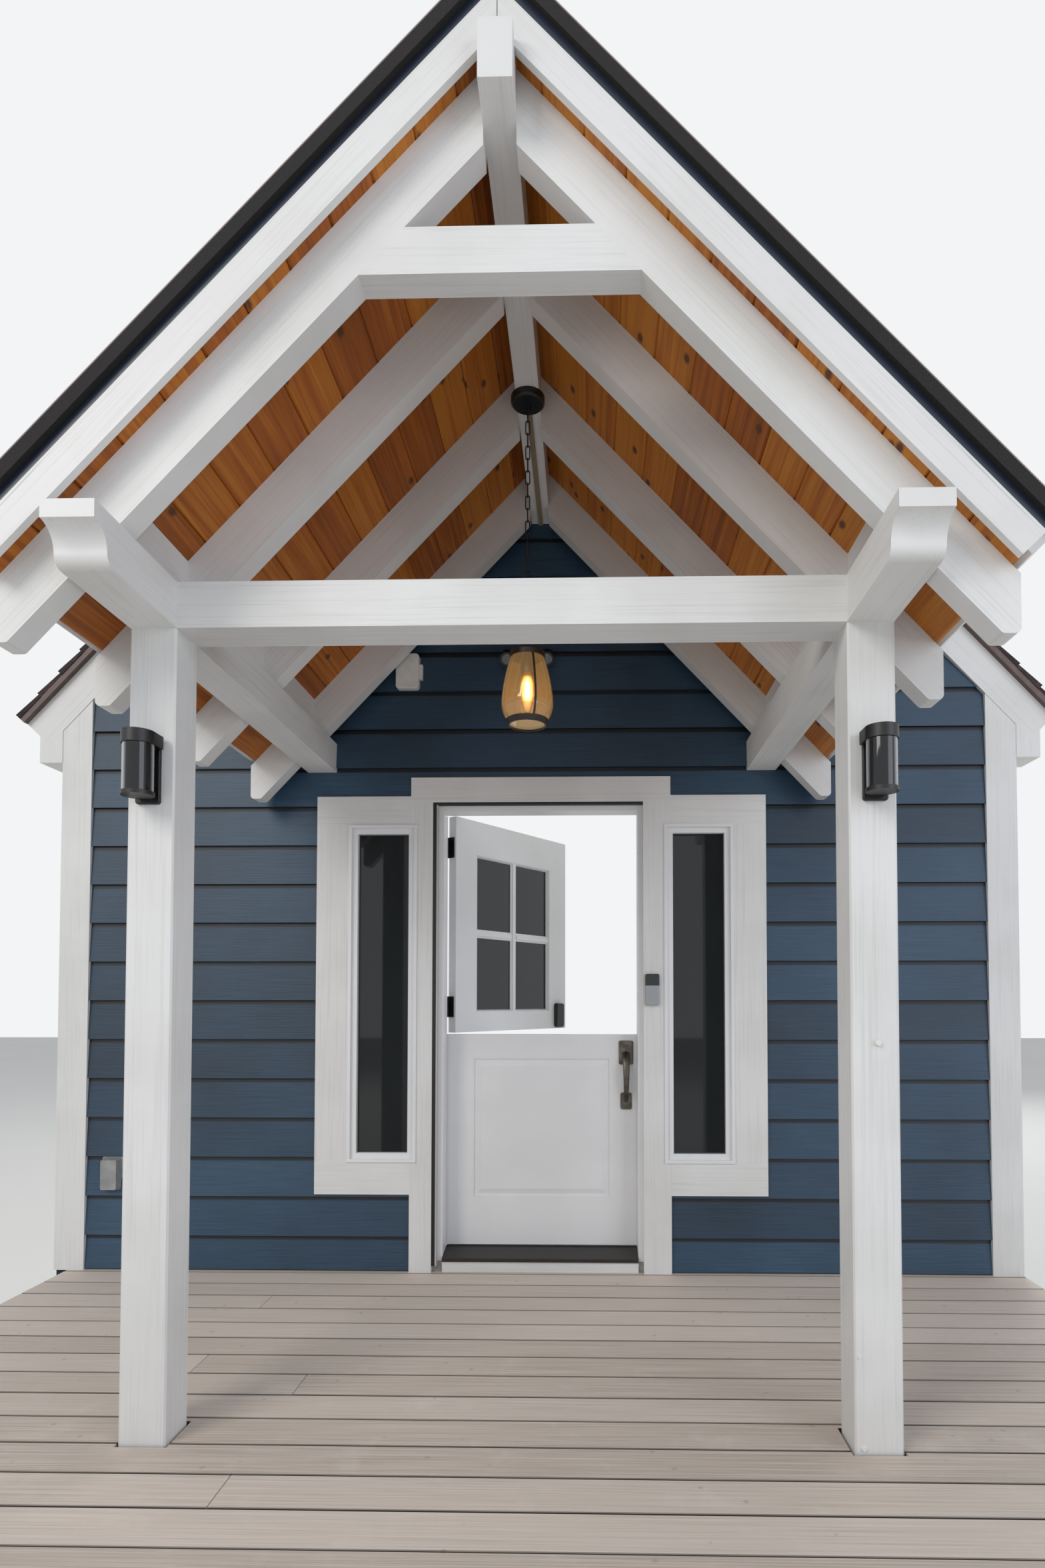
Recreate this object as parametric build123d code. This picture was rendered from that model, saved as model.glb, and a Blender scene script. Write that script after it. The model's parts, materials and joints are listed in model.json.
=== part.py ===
# Entrance porch: a timber gable porch on two posts, with the house's end wall, its two-part
# stable door and sidelights, and the low timber deck that the posts pass through.
# Millimetres. +Z is up, -Y faces the visitor. The origin is on the ground, on the centre line
# of the wall's thickness, below the middle of the door.
import os
from math import cos, radians, sin, tan
from build123d import *

# Deck. Heights of everything above are measured from the top of its boards.
deck_board_thickness = 25.0
deck_joist_depth = 185.0
deck_joist_thickness = 38.0
deck_inner_bays = 4
deck_outer_bays = 3
deck_beyond_posts = 592.0
deck_post_gap = 8.0
deck_rim_setback = 20.0
deck_half_width = 2190.0

# House end wall and the edge of its roof, centred a little to the left of the door
house_centre_x = -31.0
roof_pitch = 46.5
wall_thickness = 150.0
wall_half_width = 2222.0
wall_eave_height = 2516.0
rake_board_depth = 145.0
rake_board_thickness = 25.0
house_roof_thickness = 50.0
house_eave_overhang = 64.0
house_roof_front_overhang = 60.0
eave_box_width = 108.0
eave_box_drop = 152.0
corner_board_width = 139.0
corner_board_thickness = 22.0
trim_thickness = 28.0

# Door opening, frame and casing
jamb_thickness = 36.5
stop_lap = 6.0
casing_reveal = 24.5
casing_leg_width = 126.5
casing_head_depth = 116.5
screen_track_width = 24.0
screen_track_head = 12.0
screen_track_setback = 2.0
screen_track_bottom = 30.0
sill_top = 88.0
threshold_height = 40.0
threshold_fall = 24.0
threshold_nose = 22.0
sill_board_thickness = 14.0

# Stable door leaves and their hinges
leaf_width = 914.0
leaf_height = 2042.0
leaf_thickness = 45.0
leaf_gap = 6.5
leaf_sill_gap = 6.0
lower_leaf_height = 994.0
upper_leaf_open_angle = 56.5
panel_side_margin = 136.0
panel_bottom_margin = 226.0
panel_top_margin = 120.0
moulding_width = 35.0
moulding_slope_run = 22.0
moulding_depth = 6.0
lite_stile = 154.0
lite_bottom_rail = 98.0
lite_top_rail = 168.0
lite_glass_thickness = 6.0
hinge_height = 100.0
hinge_end_inset = 150.0
hinge_split_inset = 127.0
hinge_knuckle_count = 5
hinge_knuckle_radius = 6.0
hinge_knuckle_play = 0.4
hinge_pin_radius = 3.0
hinge_pin_play = 0.05
hinge_plate_width = 34.0
hinge_plate_thickness = 2.2
hinge_plate_play = 0.5

# Handle set on the lower leaf and lock on the upper one
handle_edge_distance = 57.0
handle_top_margin = 30.0
handle_top_width = 68.0
handle_top_height = 112.0
handle_foot_width = 53.0
handle_foot_height = 77.0
handle_length = 323.0
handle_plate_thickness = 9.0
handle_grip_thickness = 15.0
handle_grip_top_width = 36.0
handle_grip_foot_width = 20.0
handle_grip_reach = 52.0
thumb_piece_width = 26.0
thumb_piece_height = 8.0
thumb_piece_reach = 34.0
knob_rose_radius = 32.0
knob_neck_radius = 11.0
knob_neck_length = 26.0
knob_radius = 27.0
lock_edge_distance = 75.0
lock_width = 66.0
lock_height = 134.0
lock_thickness = 24.0
lock_bottom_margin = 6.0
lock_turn_radius = 30.0
fitting_corner_radius = 8.0
fitting_edge_round = 3.0

# Sidelights
sidelight_leg_lap = 30.0
sidelight_width = 320.0
sidelight_height = 1559.0
sidelight_head_drop = 75.0
sidelight_block_side = 149.0
sidelight_block_head = 134.0
sidelight_block_foot = 148.0
sash_bead_width = 15.0
sash_bead_proud = 6.0
sash_frame_width = 26.0
sash_frame_setback = 8.0
sash_back_depth = 30.0
sidelight_glass_thickness = 6.0
sidelight_glass_setback = 6.0

# Porch posts and beams
post_size = 134.0
post_centre_x = 1025.0
post_front_distance = 1560.0
post_edge_ease = 5.0
beam_size = 134.0
beam_above_casing = 32.0
plate_overhang = 410.0
nose_lip = 45.0
nose_cove_radius = 57.0

# Porch roof timbers
rafter_depth = 137.0
rafter_thickness = 76.0
front_rafter_overhang = 276.0
second_rafter_distance = 1368.0
third_rafter_distance = 755.0
wall_rafter_distance = 152.0
rafter_seat_overrun = 26.0
rafter_tail_overhang = 214.0
rafter_tail_flat = 46.0
rafter_tail_round = 16.0
ridge_width = 86.0
ridge_depth = 152.0
ridge_nose = 50.0
collar_depth = 124.0
collar_below_ridge = 260.0
frieze_inset = 62.0
frieze_thickness = 38.0

# Porch roof covering
ceiling_thickness = 20.0
roof_covering_thickness = 104.0
apex_joint = 2.0
rake_overhang = 69.0
tail_beyond_eave = 20.0
barge_depth = 81.0
barge_thickness = 22.0
barge_drop = 12.0
verge_band_depth = 26.0
verge_band_setback = 4.0
verge_edge_depth = 37.0
verge_edge_lip = 14.0
eave_trim_thickness = 14.0
ridge_cap_width = 150.0
ridge_cap_thickness = 10.0

# Pendant lantern under the ridge
pendant_distance = 850.0
canopy_radius = 63.0
canopy_height = 28.0
canopy_round = 12.0
hang_ring_radius = 9.0
hang_wire = 4.4
chain_link_pitch = 46.0
chain_link_radius = 7.5
chain_play = 0.3
lantern_bottom = 2256.0
lantern_band_height = 20.0
lantern_band_radius = 78.0
lantern_band_foot_radius = 71.0
lantern_band_wall = 6.0
lantern_cap_round = 10.0
lantern_glass_height = 230.0
lantern_glass_wall = 3.0
lantern_top_radius = 62.0
lantern_shoulder_radius = 86.0
lantern_shoulder_height = 140.0
lantern_widest_radius = 95.0
lantern_widest_height = 66.0
lantern_belly_radius = 90.0
lantern_belly_height = 30.0
lantern_lens_thickness = 4.0
lantern_lens_lift = 6.0
lantern_cap_height = 26.0
lantern_strap_width = 7.0
lantern_strap_thickness = 3.0
lantern_strap_count = 2
lantern_strap_turn = 22.0
lantern_strap_play = 0.3
socket_radius = 25.0
socket_length = 58.0
bulb_radius = 26.0
bulb_widest_height = 95.0
bulb_end_radius = 16.0
bulb_neck_radius = 20.0
bulb_length = 147.0
wiring_batten_width = 20.0
wiring_batten_thickness = 8.0

# Post lamps
post_lamp_offset = 5.0
post_lamp_bottom = 1803.0
post_lamp_height = 197.0
post_lamp_plate_width = 70.0
post_lamp_plate_thickness = 12.0
post_lamp_axis_distance = 62.0
post_lamp_hood_radius = 45.0
post_lamp_hood_height = 36.0
post_lamp_hood_drop = 6.0
post_lamp_glass_radius = 41.0
post_lamp_glass_wall = 3.0
post_lamp_ring_radius = 44.0
post_lamp_ring_thickness = 11.0
post_lamp_ring_lift = 11.0
post_lamp_arm_width = 40.0
post_lamp_tube_radius = 15.0
post_lamp_tube_length = 55.0

# Small fittings on the wall
doorbell_width = 64.0
doorbell_height = 143.0
doorbell_thickness = 22.0
doorbell_bottom = 1224.0
doorbell_edge_distance = 8.0
doorbell_button_radius = 15.0
doorbell_button_height = 45.0
doorbell_button_proud = 2.0
outlet_width = 97.0
outlet_height = 160.0
outlet_bottom = 361.0
outlet_corner_distance = 75.0
outlet_base_thickness = 10.0
outlet_cover_depth = 38.0
outlet_cover_inset = 6.0
outlet_cover_taper = 12.0
alarm_width = 108.0
alarm_height = 165.0
alarm_depth = 48.0
alarm_centre_x = 620.0
alarm_bottom = 2697.0
alarm_lens_width = 14.0
alarm_lens_height = 70.0
alarm_lens_depth = 30.0
flood_light_offset = 60.0
flood_light_height = 2858.0
flood_base_radius = 42.0
flood_base_thickness = 28.0
flood_arm_radius = 8.0
flood_arm_reach = 92.0
flood_head_radius = 33.0
flood_head_length = 78.0
flood_head_neck_radius = 20.0
flood_head_neck_length = 35.0
flood_head_tilt = 40.0
cut_clearance = 1.0

# Worked out from the sizes above
slope = tan(radians(roof_pitch))
rise = cos(radians(roof_pitch))
run = sin(radians(roof_pitch))
deck_top = deck_joist_depth + deck_board_thickness
face_y = -wall_thickness / 2
back_y = wall_thickness / 2
casing_y = face_y - trim_thickness
leaf_bottom = sill_top + leaf_sill_gap
leaf_top = leaf_bottom + leaf_height
leaf_split = leaf_bottom + lower_leaf_height
leaf_back_y = back_y
leaf_front_y = leaf_back_y - leaf_thickness
lite_half_width = leaf_width / 2 - lite_stile
lite_bottom = leaf_split + leaf_gap / 2 + lite_bottom_rail
lite_top = leaf_top - lite_top_rail
hinge_x = -leaf_width / 2 - leaf_gap / 2
hinge_y = leaf_back_y + hinge_knuckle_radius
stop_half_width = leaf_width / 2 - stop_lap
stop_head_height = leaf_top - stop_lap
jamb_rabbet_half = leaf_width / 2 + leaf_gap
jamb_outer_half = jamb_rabbet_half + jamb_thickness
jamb_head_top = leaf_top + leaf_gap + jamb_thickness
threshold_bottom = sill_top - threshold_height
casing_inner_half = stop_half_width + casing_reveal
casing_outer_half = casing_inner_half + casing_leg_width
casing_head_bottom = stop_head_height + casing_reveal + screen_track_head
casing_head_top = casing_head_bottom + casing_head_depth
sidelight_inner = casing_outer_half - sidelight_leg_lap
sidelight_outer = sidelight_inner + sidelight_width
sidelight_top = leaf_top - sidelight_head_drop
sidelight_bottom = sidelight_top - sidelight_height
sidelight_block_outer = sidelight_outer + sidelight_block_side
sash_glass_inset = sash_bead_width + sash_frame_width
beam_underside = casing_head_top + beam_above_casing
beam_top = beam_underside + beam_size
post_outer_x = post_centre_x + post_size / 2
post_inner_x = post_centre_x - post_size / 2
post_front_y = face_y - post_front_distance
deck_front_y = post_front_y - deck_beyond_posts
plate_front_y = post_front_y - plate_overhang
nose_roll_radius = beam_size - nose_lip - nose_cove_radius
front_rafter_y = post_front_y - front_rafter_overhang
common_rafter_faces = [face_y - second_rafter_distance, face_y - third_rafter_distance,
                       face_y - wall_rafter_distance]
rafter_seat_x = post_inner_x + rafter_seat_overrun
rafter_under_peak = beam_top + rafter_seat_x * slope
rafter_top_peak = rafter_under_peak + rafter_depth / rise
rafter_tail_reach = post_outer_x + rafter_tail_overhang
rafter_tail_bottom = rafter_under_peak - (rafter_tail_reach - rafter_tail_flat) * slope
ridge_top = rafter_top_peak - ridge_width / 2 * slope
ridge_underside = ridge_top - ridge_depth
rake_y = front_rafter_y - rake_overhang
roof_front_y = rake_y + barge_thickness
eave_reach = rafter_tail_reach - tail_beyond_eave
roof_top_lift = ceiling_thickness + roof_covering_thickness
barge_top_lift = barge_depth - barge_drop
verge_top_lift = barge_top_lift + verge_band_depth + verge_edge_depth
rake_peak = wall_eave_height + wall_half_width * slope
wall_peak = rake_peak + rake_board_depth / rise
wall_reach = wall_half_width + abs(house_centre_x)
house_eave_reach = wall_half_width + house_eave_overhang
house_eave_drop = wall_eave_height - house_eave_overhang * slope
eave_box_bottom = wall_eave_height - eave_box_drop
eave_box_outer = wall_half_width + eave_box_width
eave_box_outer_top = house_eave_drop + (eave_box_outer - house_eave_reach) / slope
pendant_y = face_y - pendant_distance
lantern_glass_bottom = lantern_bottom + lantern_band_height
lantern_glass_top = lantern_glass_bottom + lantern_glass_height
hang_ring_bottom = ridge_underside - canopy_height - 2 * hang_ring_radius
lantern_ring_top = lantern_glass_top + lantern_cap_height + 2 * hang_ring_radius
lamp_x = post_centre_x + post_lamp_offset
lamp_axis_y = post_front_y - post_lamp_axis_distance
lamp_top = post_lamp_bottom + post_lamp_height
lamp_hood_bottom = lamp_top - post_lamp_hood_drop - post_lamp_hood_height
lamp_ring_top = post_lamp_bottom + post_lamp_ring_lift + post_lamp_ring_thickness
outward = (Align.CENTER, Align.CENTER, Align.MIN)
inward = (Align.CENTER, Align.CENTER, Align.MAX)


def block(x0, x1, y0, y1, z0, z1):
    """Box between two corners, with its heights measured from the deck."""
    box = Box(x1 - x0, y1 - y0, z1 - z0, align=(Align.MIN, Align.MIN, Align.MIN))
    return Pos(x0, y0, deck_top + z0) * box


def through(x0, x1, y0, y1, z0, z1):
    """Cutter that runs a little past both faces of what it goes through."""
    return block(x0, x1, y0 - cut_clearance, y1 + cut_clearance, z0, z1)


def slab(face, y0, y1):
    """Flat shape drawn as seen from the front, given thickness from y0 to y1."""
    solid = extrude(Plane.XZ * face, amount=y1 - y0, dir=(0, 1, 0))
    return Pos(0, y0, deck_top) * solid


def plate(points, y0, y1):
    return slab(make_face(Polyline(*points, close=True)), y0, y1)


def profile_along_x(face, x0, x1):
    """Side view (y, height) given width from x0 to x1."""
    return Pos(x0, 0, deck_top) * extrude(Plane.YZ * face, amount=x1 - x0)


def turned(face, x, y):
    """Half section (radius, height) turned about an upright line."""
    return Pos(x, y, deck_top) * revolve(Plane.XZ * face, axis=Axis.Z)


def mirrored(solid):
    return mirror(solid, about=Plane.YZ)


def pair(solid):
    """A piece and its mirror image on the other side of the door."""
    return Compound(children=[solid, mirrored(solid)])


def on_house(solid):
    """Move a piece drawn about the wall's middle to where the wall stands beside the door."""
    return Pos(house_centre_x, 0, 0) * solid


def house_pair(solid):
    return Compound(children=[on_house(solid), on_house(mirrored(solid))])


def rounded_plate(x, z, width, height, back, thickness, corner=fitting_corner_radius):
    """Small fitting with round corners, standing off a surface towards the visitor."""
    start = Plane(origin=(x, back, deck_top + z), x_dir=(1, 0, 0), z_dir=(0, -1, 0))
    body = extrude(start * RectangleRounded(width, height, corner), amount=thickness)
    front = body.faces().sort_by(Axis.Y)[0]
    return fillet(front.edges(), min(fitting_edge_round, thickness / 3))


def slope_point(peak, x, lift):
    """Point lifted square off a roof line that falls from the height peak."""
    return (x + lift * run, peak - x * slope + lift * rise)


def roof_board(peak, low, high, reach, y0, y1):
    """Right-hand board between two lifts off a roof line, its lower end cut square."""
    apex = apex_joint / 2
    points = [
        (apex, peak - apex * slope + low / rise),
        slope_point(peak, reach, low),
        slope_point(peak, reach, high),
        (apex, peak - apex * slope + high / rise),
    ]
    return plate(points, y0, y1)


# House end wall

def make_gable():
    """The whole end wall from the ground to the underside of its roof, before any opening."""
    edge_height = wall_peak - wall_half_width * slope
    points = [
        (-wall_half_width, -deck_top),
        (wall_half_width, -deck_top),
        (wall_half_width, edge_height),
        (0, wall_peak),
        (-wall_half_width, edge_height),
    ]
    return on_house(plate(points, face_y, back_y))


def make_wall_side(gable):
    """Wall to the right of the door, with its sidelight opening."""
    side = gable & through(jamb_outer_half, wall_reach, face_y, back_y,
                           -deck_top, jamb_head_top)
    return side - through(sidelight_inner, sidelight_outer, face_y, back_y,
                          sidelight_bottom, sidelight_top)


def make_wall_over_door(gable):
    return gable & through(-wall_reach, wall_reach, face_y, back_y, jamb_head_top, wall_peak)


def make_sill_base():
    return block(-jamb_outer_half, jamb_outer_half, face_y, back_y, -deck_top, threshold_bottom)


def make_corner_board():
    inner = wall_half_width - corner_board_width
    points = [
        (inner, 0),
        (wall_half_width, 0),
        (wall_half_width, rake_peak - wall_half_width * slope),
        (inner, rake_peak - inner * slope),
    ]
    return plate(points, face_y - corner_board_thickness, face_y)


def make_rake_board():
    return roof_board(rake_peak, 0, rake_board_depth, house_eave_reach,
                      face_y - rake_board_thickness, face_y)


def make_house_roof_edge():
    return roof_board(rake_peak, rake_board_depth, rake_board_depth + house_roof_thickness,
                      house_eave_reach, face_y - house_roof_front_overhang, back_y)


def make_eave_box():
    """Boxed end of the house eave, flush with the front of the rake board above it."""
    corner = [
        (wall_half_width, eave_box_bottom),
        (eave_box_outer, eave_box_bottom),
        (eave_box_outer, eave_box_outer_top),
    ]
    behind = [
        slope_point(rake_peak, house_eave_reach, rake_board_depth),
        (wall_half_width, wall_peak - wall_half_width * slope),
    ]
    front = [(house_eave_reach, house_eave_drop), (wall_half_width, wall_eave_height)]
    body = plate(corner + behind, face_y, back_y)
    return body + plate(corner + front, face_y - rake_board_thickness, face_y)


# Door frame, threshold and casing

def make_door_frame():
    """Jambs and head in one, rebated at the back for the leaves."""
    outer = block(-jamb_outer_half, jamb_outer_half, face_y, back_y,
                  threshold_bottom, jamb_head_top)
    low = threshold_bottom - cut_clearance
    passage = through(-stop_half_width, stop_half_width, face_y, back_y, low, stop_head_height)
    rebate = block(-jamb_rabbet_half, jamb_rabbet_half, leaf_front_y - leaf_gap,
                   back_y + cut_clearance, low, leaf_top + leaf_gap)
    return outer - passage - rebate


def make_screen_track():
    """Black channel of a pull-across screen: up the left jamb and along the head."""
    front = casing_y + screen_track_setback
    left = -casing_inner_half - screen_track_width
    upright = block(left, -casing_inner_half, front, face_y,
                    screen_track_bottom, casing_head_bottom)
    head = block(left, casing_inner_half, front, face_y,
                 casing_head_bottom - screen_track_head, casing_head_bottom)
    return upright + head


def make_threshold():
    """Metal sill under the leaves, sloping out to a square nose."""
    outline = Polyline((leaf_back_y, threshold_bottom), (leaf_back_y, sill_top),
                       (leaf_front_y, sill_top),
                       (face_y - threshold_nose, sill_top - threshold_fall),
                       (face_y - threshold_nose, threshold_bottom), close=True)
    return profile_along_x(make_face(outline), -stop_half_width, stop_half_width)


def make_sill_board():
    return block(-stop_half_width, stop_half_width, face_y - sill_board_thickness, face_y,
                 0, threshold_bottom)


def make_door_casing():
    light = through(sidelight_inner, sidelight_outer, casing_y, face_y,
                    sidelight_bottom, sidelight_top)
    right_leg = block(casing_inner_half, casing_outer_half, casing_y, face_y,
                      0, casing_head_bottom) - light
    left_leg = block(-casing_outer_half, -casing_inner_half - screen_track_width,
                     casing_y, face_y, 0, casing_head_bottom) - mirrored(light)
    head = block(-casing_outer_half, casing_outer_half, casing_y, face_y,
                 casing_head_bottom, casing_head_top)
    return head + right_leg + left_leg


# Sidelights

def make_sidelight_casing():
    board = block(casing_outer_half, sidelight_block_outer, casing_y, face_y,
                  sidelight_bottom - sidelight_block_foot, sidelight_top + sidelight_block_head)
    return board - through(sidelight_inner, sidelight_outer, casing_y, face_y,
                           sidelight_bottom, sidelight_top)


def sidelight_ring(outer_inset, width, front, back):
    """Rectangular ring inside the sidelight opening."""
    inner = outer_inset + width
    ring = block(sidelight_inner + outer_inset, sidelight_outer - outer_inset, front, back,
                 sidelight_bottom + outer_inset, sidelight_top - outer_inset)
    return ring - through(sidelight_inner + inner, sidelight_outer - inner, front, back,
                          sidelight_bottom + inner, sidelight_top - inner)


def make_sidelight_sash():
    back = face_y + sash_back_depth
    bead = sidelight_ring(0, sash_bead_width, casing_y - sash_bead_proud, back)
    frame = sidelight_ring(sash_bead_width, sash_frame_width, casing_y + sash_frame_setback, back)
    return bead + frame


def make_sidelight_glass():
    front = face_y + sidelight_glass_setback
    return block(sidelight_inner + sash_glass_inset, sidelight_outer - sash_glass_inset,
                 front, front + sidelight_glass_thickness,
                 sidelight_bottom + sash_glass_inset, sidelight_top - sash_glass_inset)


# Stable door: two leaves on one hinge line, both opening into the house

def swing(solid, angle):
    """Turn a piece of a leaf about the hinge line."""
    return solid.rotate(Axis((hinge_x, hinge_y, 0), (0, 0, 1)), angle)


def make_panel_moulding():
    """Cutter for the sunk line round a raised panel; its inner side slopes to the field."""
    half = leaf_width / 2 - panel_side_margin
    low = leaf_bottom + panel_bottom_margin
    high = leaf_split - panel_top_margin
    outer = block(-half, half, leaf_front_y - cut_clearance, leaf_front_y + moulding_depth,
                  low, high)
    middle = deck_top + (low + high) / 2
    foot = moulding_width - moulding_slope_run
    sections = []
    for y, inset in [(leaf_front_y + moulding_depth, foot), (leaf_front_y, moulding_width)]:
        at = Plane(origin=(0, y, middle), x_dir=(1, 0, 0), z_dir=(0, -1, 0))
        sections.append(at * Rectangle(2 * (half - inset), high - low - 2 * inset))
    inner = half - moulding_width
    cap = block(-inner, inner, leaf_front_y - cut_clearance, leaf_front_y,
                low + moulding_width, high - moulding_width)
    return outer - loft(sections) - cap


def make_lower_leaf():
    leaf = block(-leaf_width / 2, leaf_width / 2, leaf_front_y, leaf_back_y,
                 leaf_bottom, leaf_split - leaf_gap / 2)
    moulding = make_panel_moulding()
    middle = Plane.XZ.offset(-(leaf_front_y + leaf_back_y) / 2)
    return leaf - moulding - mirror(moulding, about=middle)


def make_upper_leaf():
    leaf = block(-leaf_width / 2, leaf_width / 2, leaf_front_y, leaf_back_y,
                 leaf_split + leaf_gap / 2, leaf_top)
    return leaf - through(-lite_half_width, lite_half_width, leaf_front_y, leaf_back_y,
                          lite_bottom, lite_top)


def make_upper_leaf_glass():
    middle = (leaf_front_y + leaf_back_y) / 2
    return block(-lite_half_width, lite_half_width, middle - lite_glass_thickness / 2,
                 middle + lite_glass_thickness / 2, lite_bottom, lite_top)


def make_hinge_half(centre, fixed):
    """Plate and knuckles of one butt hinge, for the jamb when fixed or else for the leaf."""
    pitch = hinge_height / hinge_knuckle_count
    low = centre - hinge_height / 2
    if fixed:
        plate_x = -jamb_rabbet_half
        numbers = range(0, hinge_knuckle_count, 2)
        bore_radius = hinge_pin_radius
    else:
        plate_x = -leaf_width / 2 - hinge_plate_thickness
        numbers = range(1, hinge_knuckle_count, 2)
        bore_radius = hinge_pin_radius + hinge_pin_play
    half = block(plate_x, plate_x + hinge_plate_thickness, leaf_back_y - hinge_plate_width,
                 leaf_back_y - hinge_plate_play, low, low + hinge_height)
    for number in numbers:
        start = low + number * pitch + hinge_knuckle_play / 2
        length = pitch - hinge_knuckle_play
        knuckle = Cylinder(hinge_knuckle_radius, length, align=outward)
        half += Pos(hinge_x, hinge_y, deck_top + start) * knuckle
        half += block(plate_x, plate_x + hinge_plate_thickness,
                      leaf_back_y - hinge_plate_play - cut_clearance, hinge_y,
                      start, start + length)
    pin = Pos(hinge_x, hinge_y, deck_top + low) * Cylinder(bore_radius, hinge_height, align=outward)
    return half + pin if fixed else half - pin


def make_hinge_halves(centres, fixed):
    return Compound(children=[make_hinge_half(centre, fixed) for centre in centres])


def make_inner_knob(x, z):
    """Round rose, neck and knob on the house side of the lower leaf."""
    knob = Cylinder(knob_rose_radius, handle_plate_thickness, align=outward)
    neck = Cylinder(knob_neck_radius, knob_neck_length, align=outward)
    knob += Pos(0, 0, handle_plate_thickness) * neck
    knob += Pos(0, 0, handle_plate_thickness + knob_neck_length) * Sphere(knob_radius)
    return Plane(origin=(x, leaf_back_y, deck_top + z), x_dir=(1, 0, 0), z_dir=(0, 1, 0)) * knob


def make_handle_set():
    """Entry handle: upper and lower plates joined by a bowed grip, with a knob inside."""
    x = leaf_width / 2 - handle_edge_distance
    top = leaf_split - leaf_gap / 2 - handle_top_margin
    upper_z = top - handle_top_height / 2
    lower_z = top - handle_length + handle_foot_height / 2
    handle = rounded_plate(x, upper_z, handle_top_width, handle_top_height,
                           leaf_front_y, handle_plate_thickness)
    handle += rounded_plate(x, lower_z, handle_foot_width, handle_foot_height,
                            leaf_front_y, handle_plate_thickness)
    root_y = leaf_front_y - handle_plate_thickness
    middle = (leaf_front_y - handle_grip_reach, (upper_z + lower_z) / 2)
    bow = Plane.YZ * ThreePointArc((root_y, upper_z), middle, (root_y, lower_z))
    sections = []
    for place, width in [(0, handle_grip_top_width), (1, handle_grip_foot_width)]:
        at = Plane(bow @ place, x_dir=(1, 0, 0), z_dir=bow % place)
        sections.append(at * Ellipse(width / 2, handle_grip_thickness / 2))
        boss = Sphere(handle_grip_thickness / 2)
        handle += Pos(x, 0, deck_top) * (Pos(bow @ place) * boss)
    grip = sweep(sections, path=bow, multisection=True)
    handle += Pos(x, 0, deck_top) * grip
    handle += block(x - thumb_piece_width / 2, x + thumb_piece_width / 2,
                    leaf_front_y - thumb_piece_reach, leaf_front_y,
                    upper_z + thumb_piece_width, upper_z + thumb_piece_width + thumb_piece_height)
    return Compound(children=[handle, make_inner_knob(x, upper_z)])


def make_upper_lock():
    """Keyless lock body outside and a round turn inside."""
    x = leaf_width / 2 - lock_edge_distance
    z = leaf_split + leaf_gap / 2 + lock_bottom_margin + lock_height / 2
    body = rounded_plate(x, z, lock_width, lock_height, leaf_front_y, lock_thickness,
                         2 * fitting_corner_radius)
    turn = Cylinder(lock_turn_radius, handle_plate_thickness, align=outward)
    grip = Box(lock_turn_radius, handle_plate_thickness, thumb_piece_width, align=outward)
    turn += Pos(0, 0, handle_plate_thickness) * grip
    inside = Plane(origin=(x, leaf_back_y, deck_top + z), x_dir=(1, 0, 0), z_dir=(0, 1, 0))
    return Compound(children=[body, inside * turn])


# Porch timber frame

def make_post():
    post = block(post_inner_x, post_outer_x, post_front_y, post_front_y + post_size,
                 -deck_top, beam_underside)
    return chamfer(post.edges().filter_by(Axis.Z), post_edge_ease)


def make_plate_beam():
    """Beam from the wall over the post, its free end shaped with a lip, a cove and a roll."""
    front = plate_front_y
    lip = beam_top - nose_lip
    cove_y = front + nose_cove_radius
    cove_z = lip - nose_cove_radius
    roll_y = cove_y + nose_roll_radius
    cove = CenterArc((front, cove_z), nose_cove_radius, 90, -90)
    roll = CenterArc((roll_y, cove_z), nose_roll_radius, 180, 90)
    rest = Polyline((roll_y, beam_underside), (face_y, beam_underside), (face_y, beam_top),
                    (front, beam_top), (front, lip))
    return profile_along_x(make_face(cove + roll + rest), post_inner_x, post_outer_x)


def make_tie_beam():
    return block(-post_inner_x, post_inner_x, post_front_y, post_front_y + beam_size,
                 beam_underside, beam_top)


def make_ridge_beam():
    return block(-ridge_width / 2, ridge_width / 2, rake_y - ridge_nose, face_y,
                 ridge_underside, ridge_top)


def make_rafter(front):
    """Rafter with a birdsmouth over the plate beam and a tail with rounded corners."""
    inner = ridge_width / 2
    points = [
        (inner, rafter_under_peak - inner * slope),
        (rafter_seat_x, beam_top),
        (post_outer_x, beam_top),
        (post_outer_x, rafter_under_peak - post_outer_x * slope),
        (rafter_tail_reach - rafter_tail_flat, rafter_tail_bottom),
        (rafter_tail_reach, rafter_tail_bottom),
        (rafter_tail_reach, rafter_top_peak - rafter_tail_reach * slope),
        (inner, rafter_top_peak - inner * slope),
    ]
    side = make_face(Polyline(*points, close=True))
    tail_corners = side.vertices().sort_by(Axis.Y)[:2]
    return slab(fillet(tail_corners, rafter_tail_round), front, front + rafter_thickness)


def make_common_rafters():
    return Compound(children=[pair(make_rafter(front)) for front in common_rafter_faces])


def make_collar():
    top = ridge_underside - collar_below_ridge
    bottom = top - collar_depth
    half_bottom = (rafter_under_peak - bottom) / slope
    half_top = (rafter_under_peak - top) / slope
    points = [(-half_bottom, bottom), (half_bottom, bottom), (half_top, top), (-half_top, top)]
    return plate(points, front_rafter_y, front_rafter_y + rafter_thickness)


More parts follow.
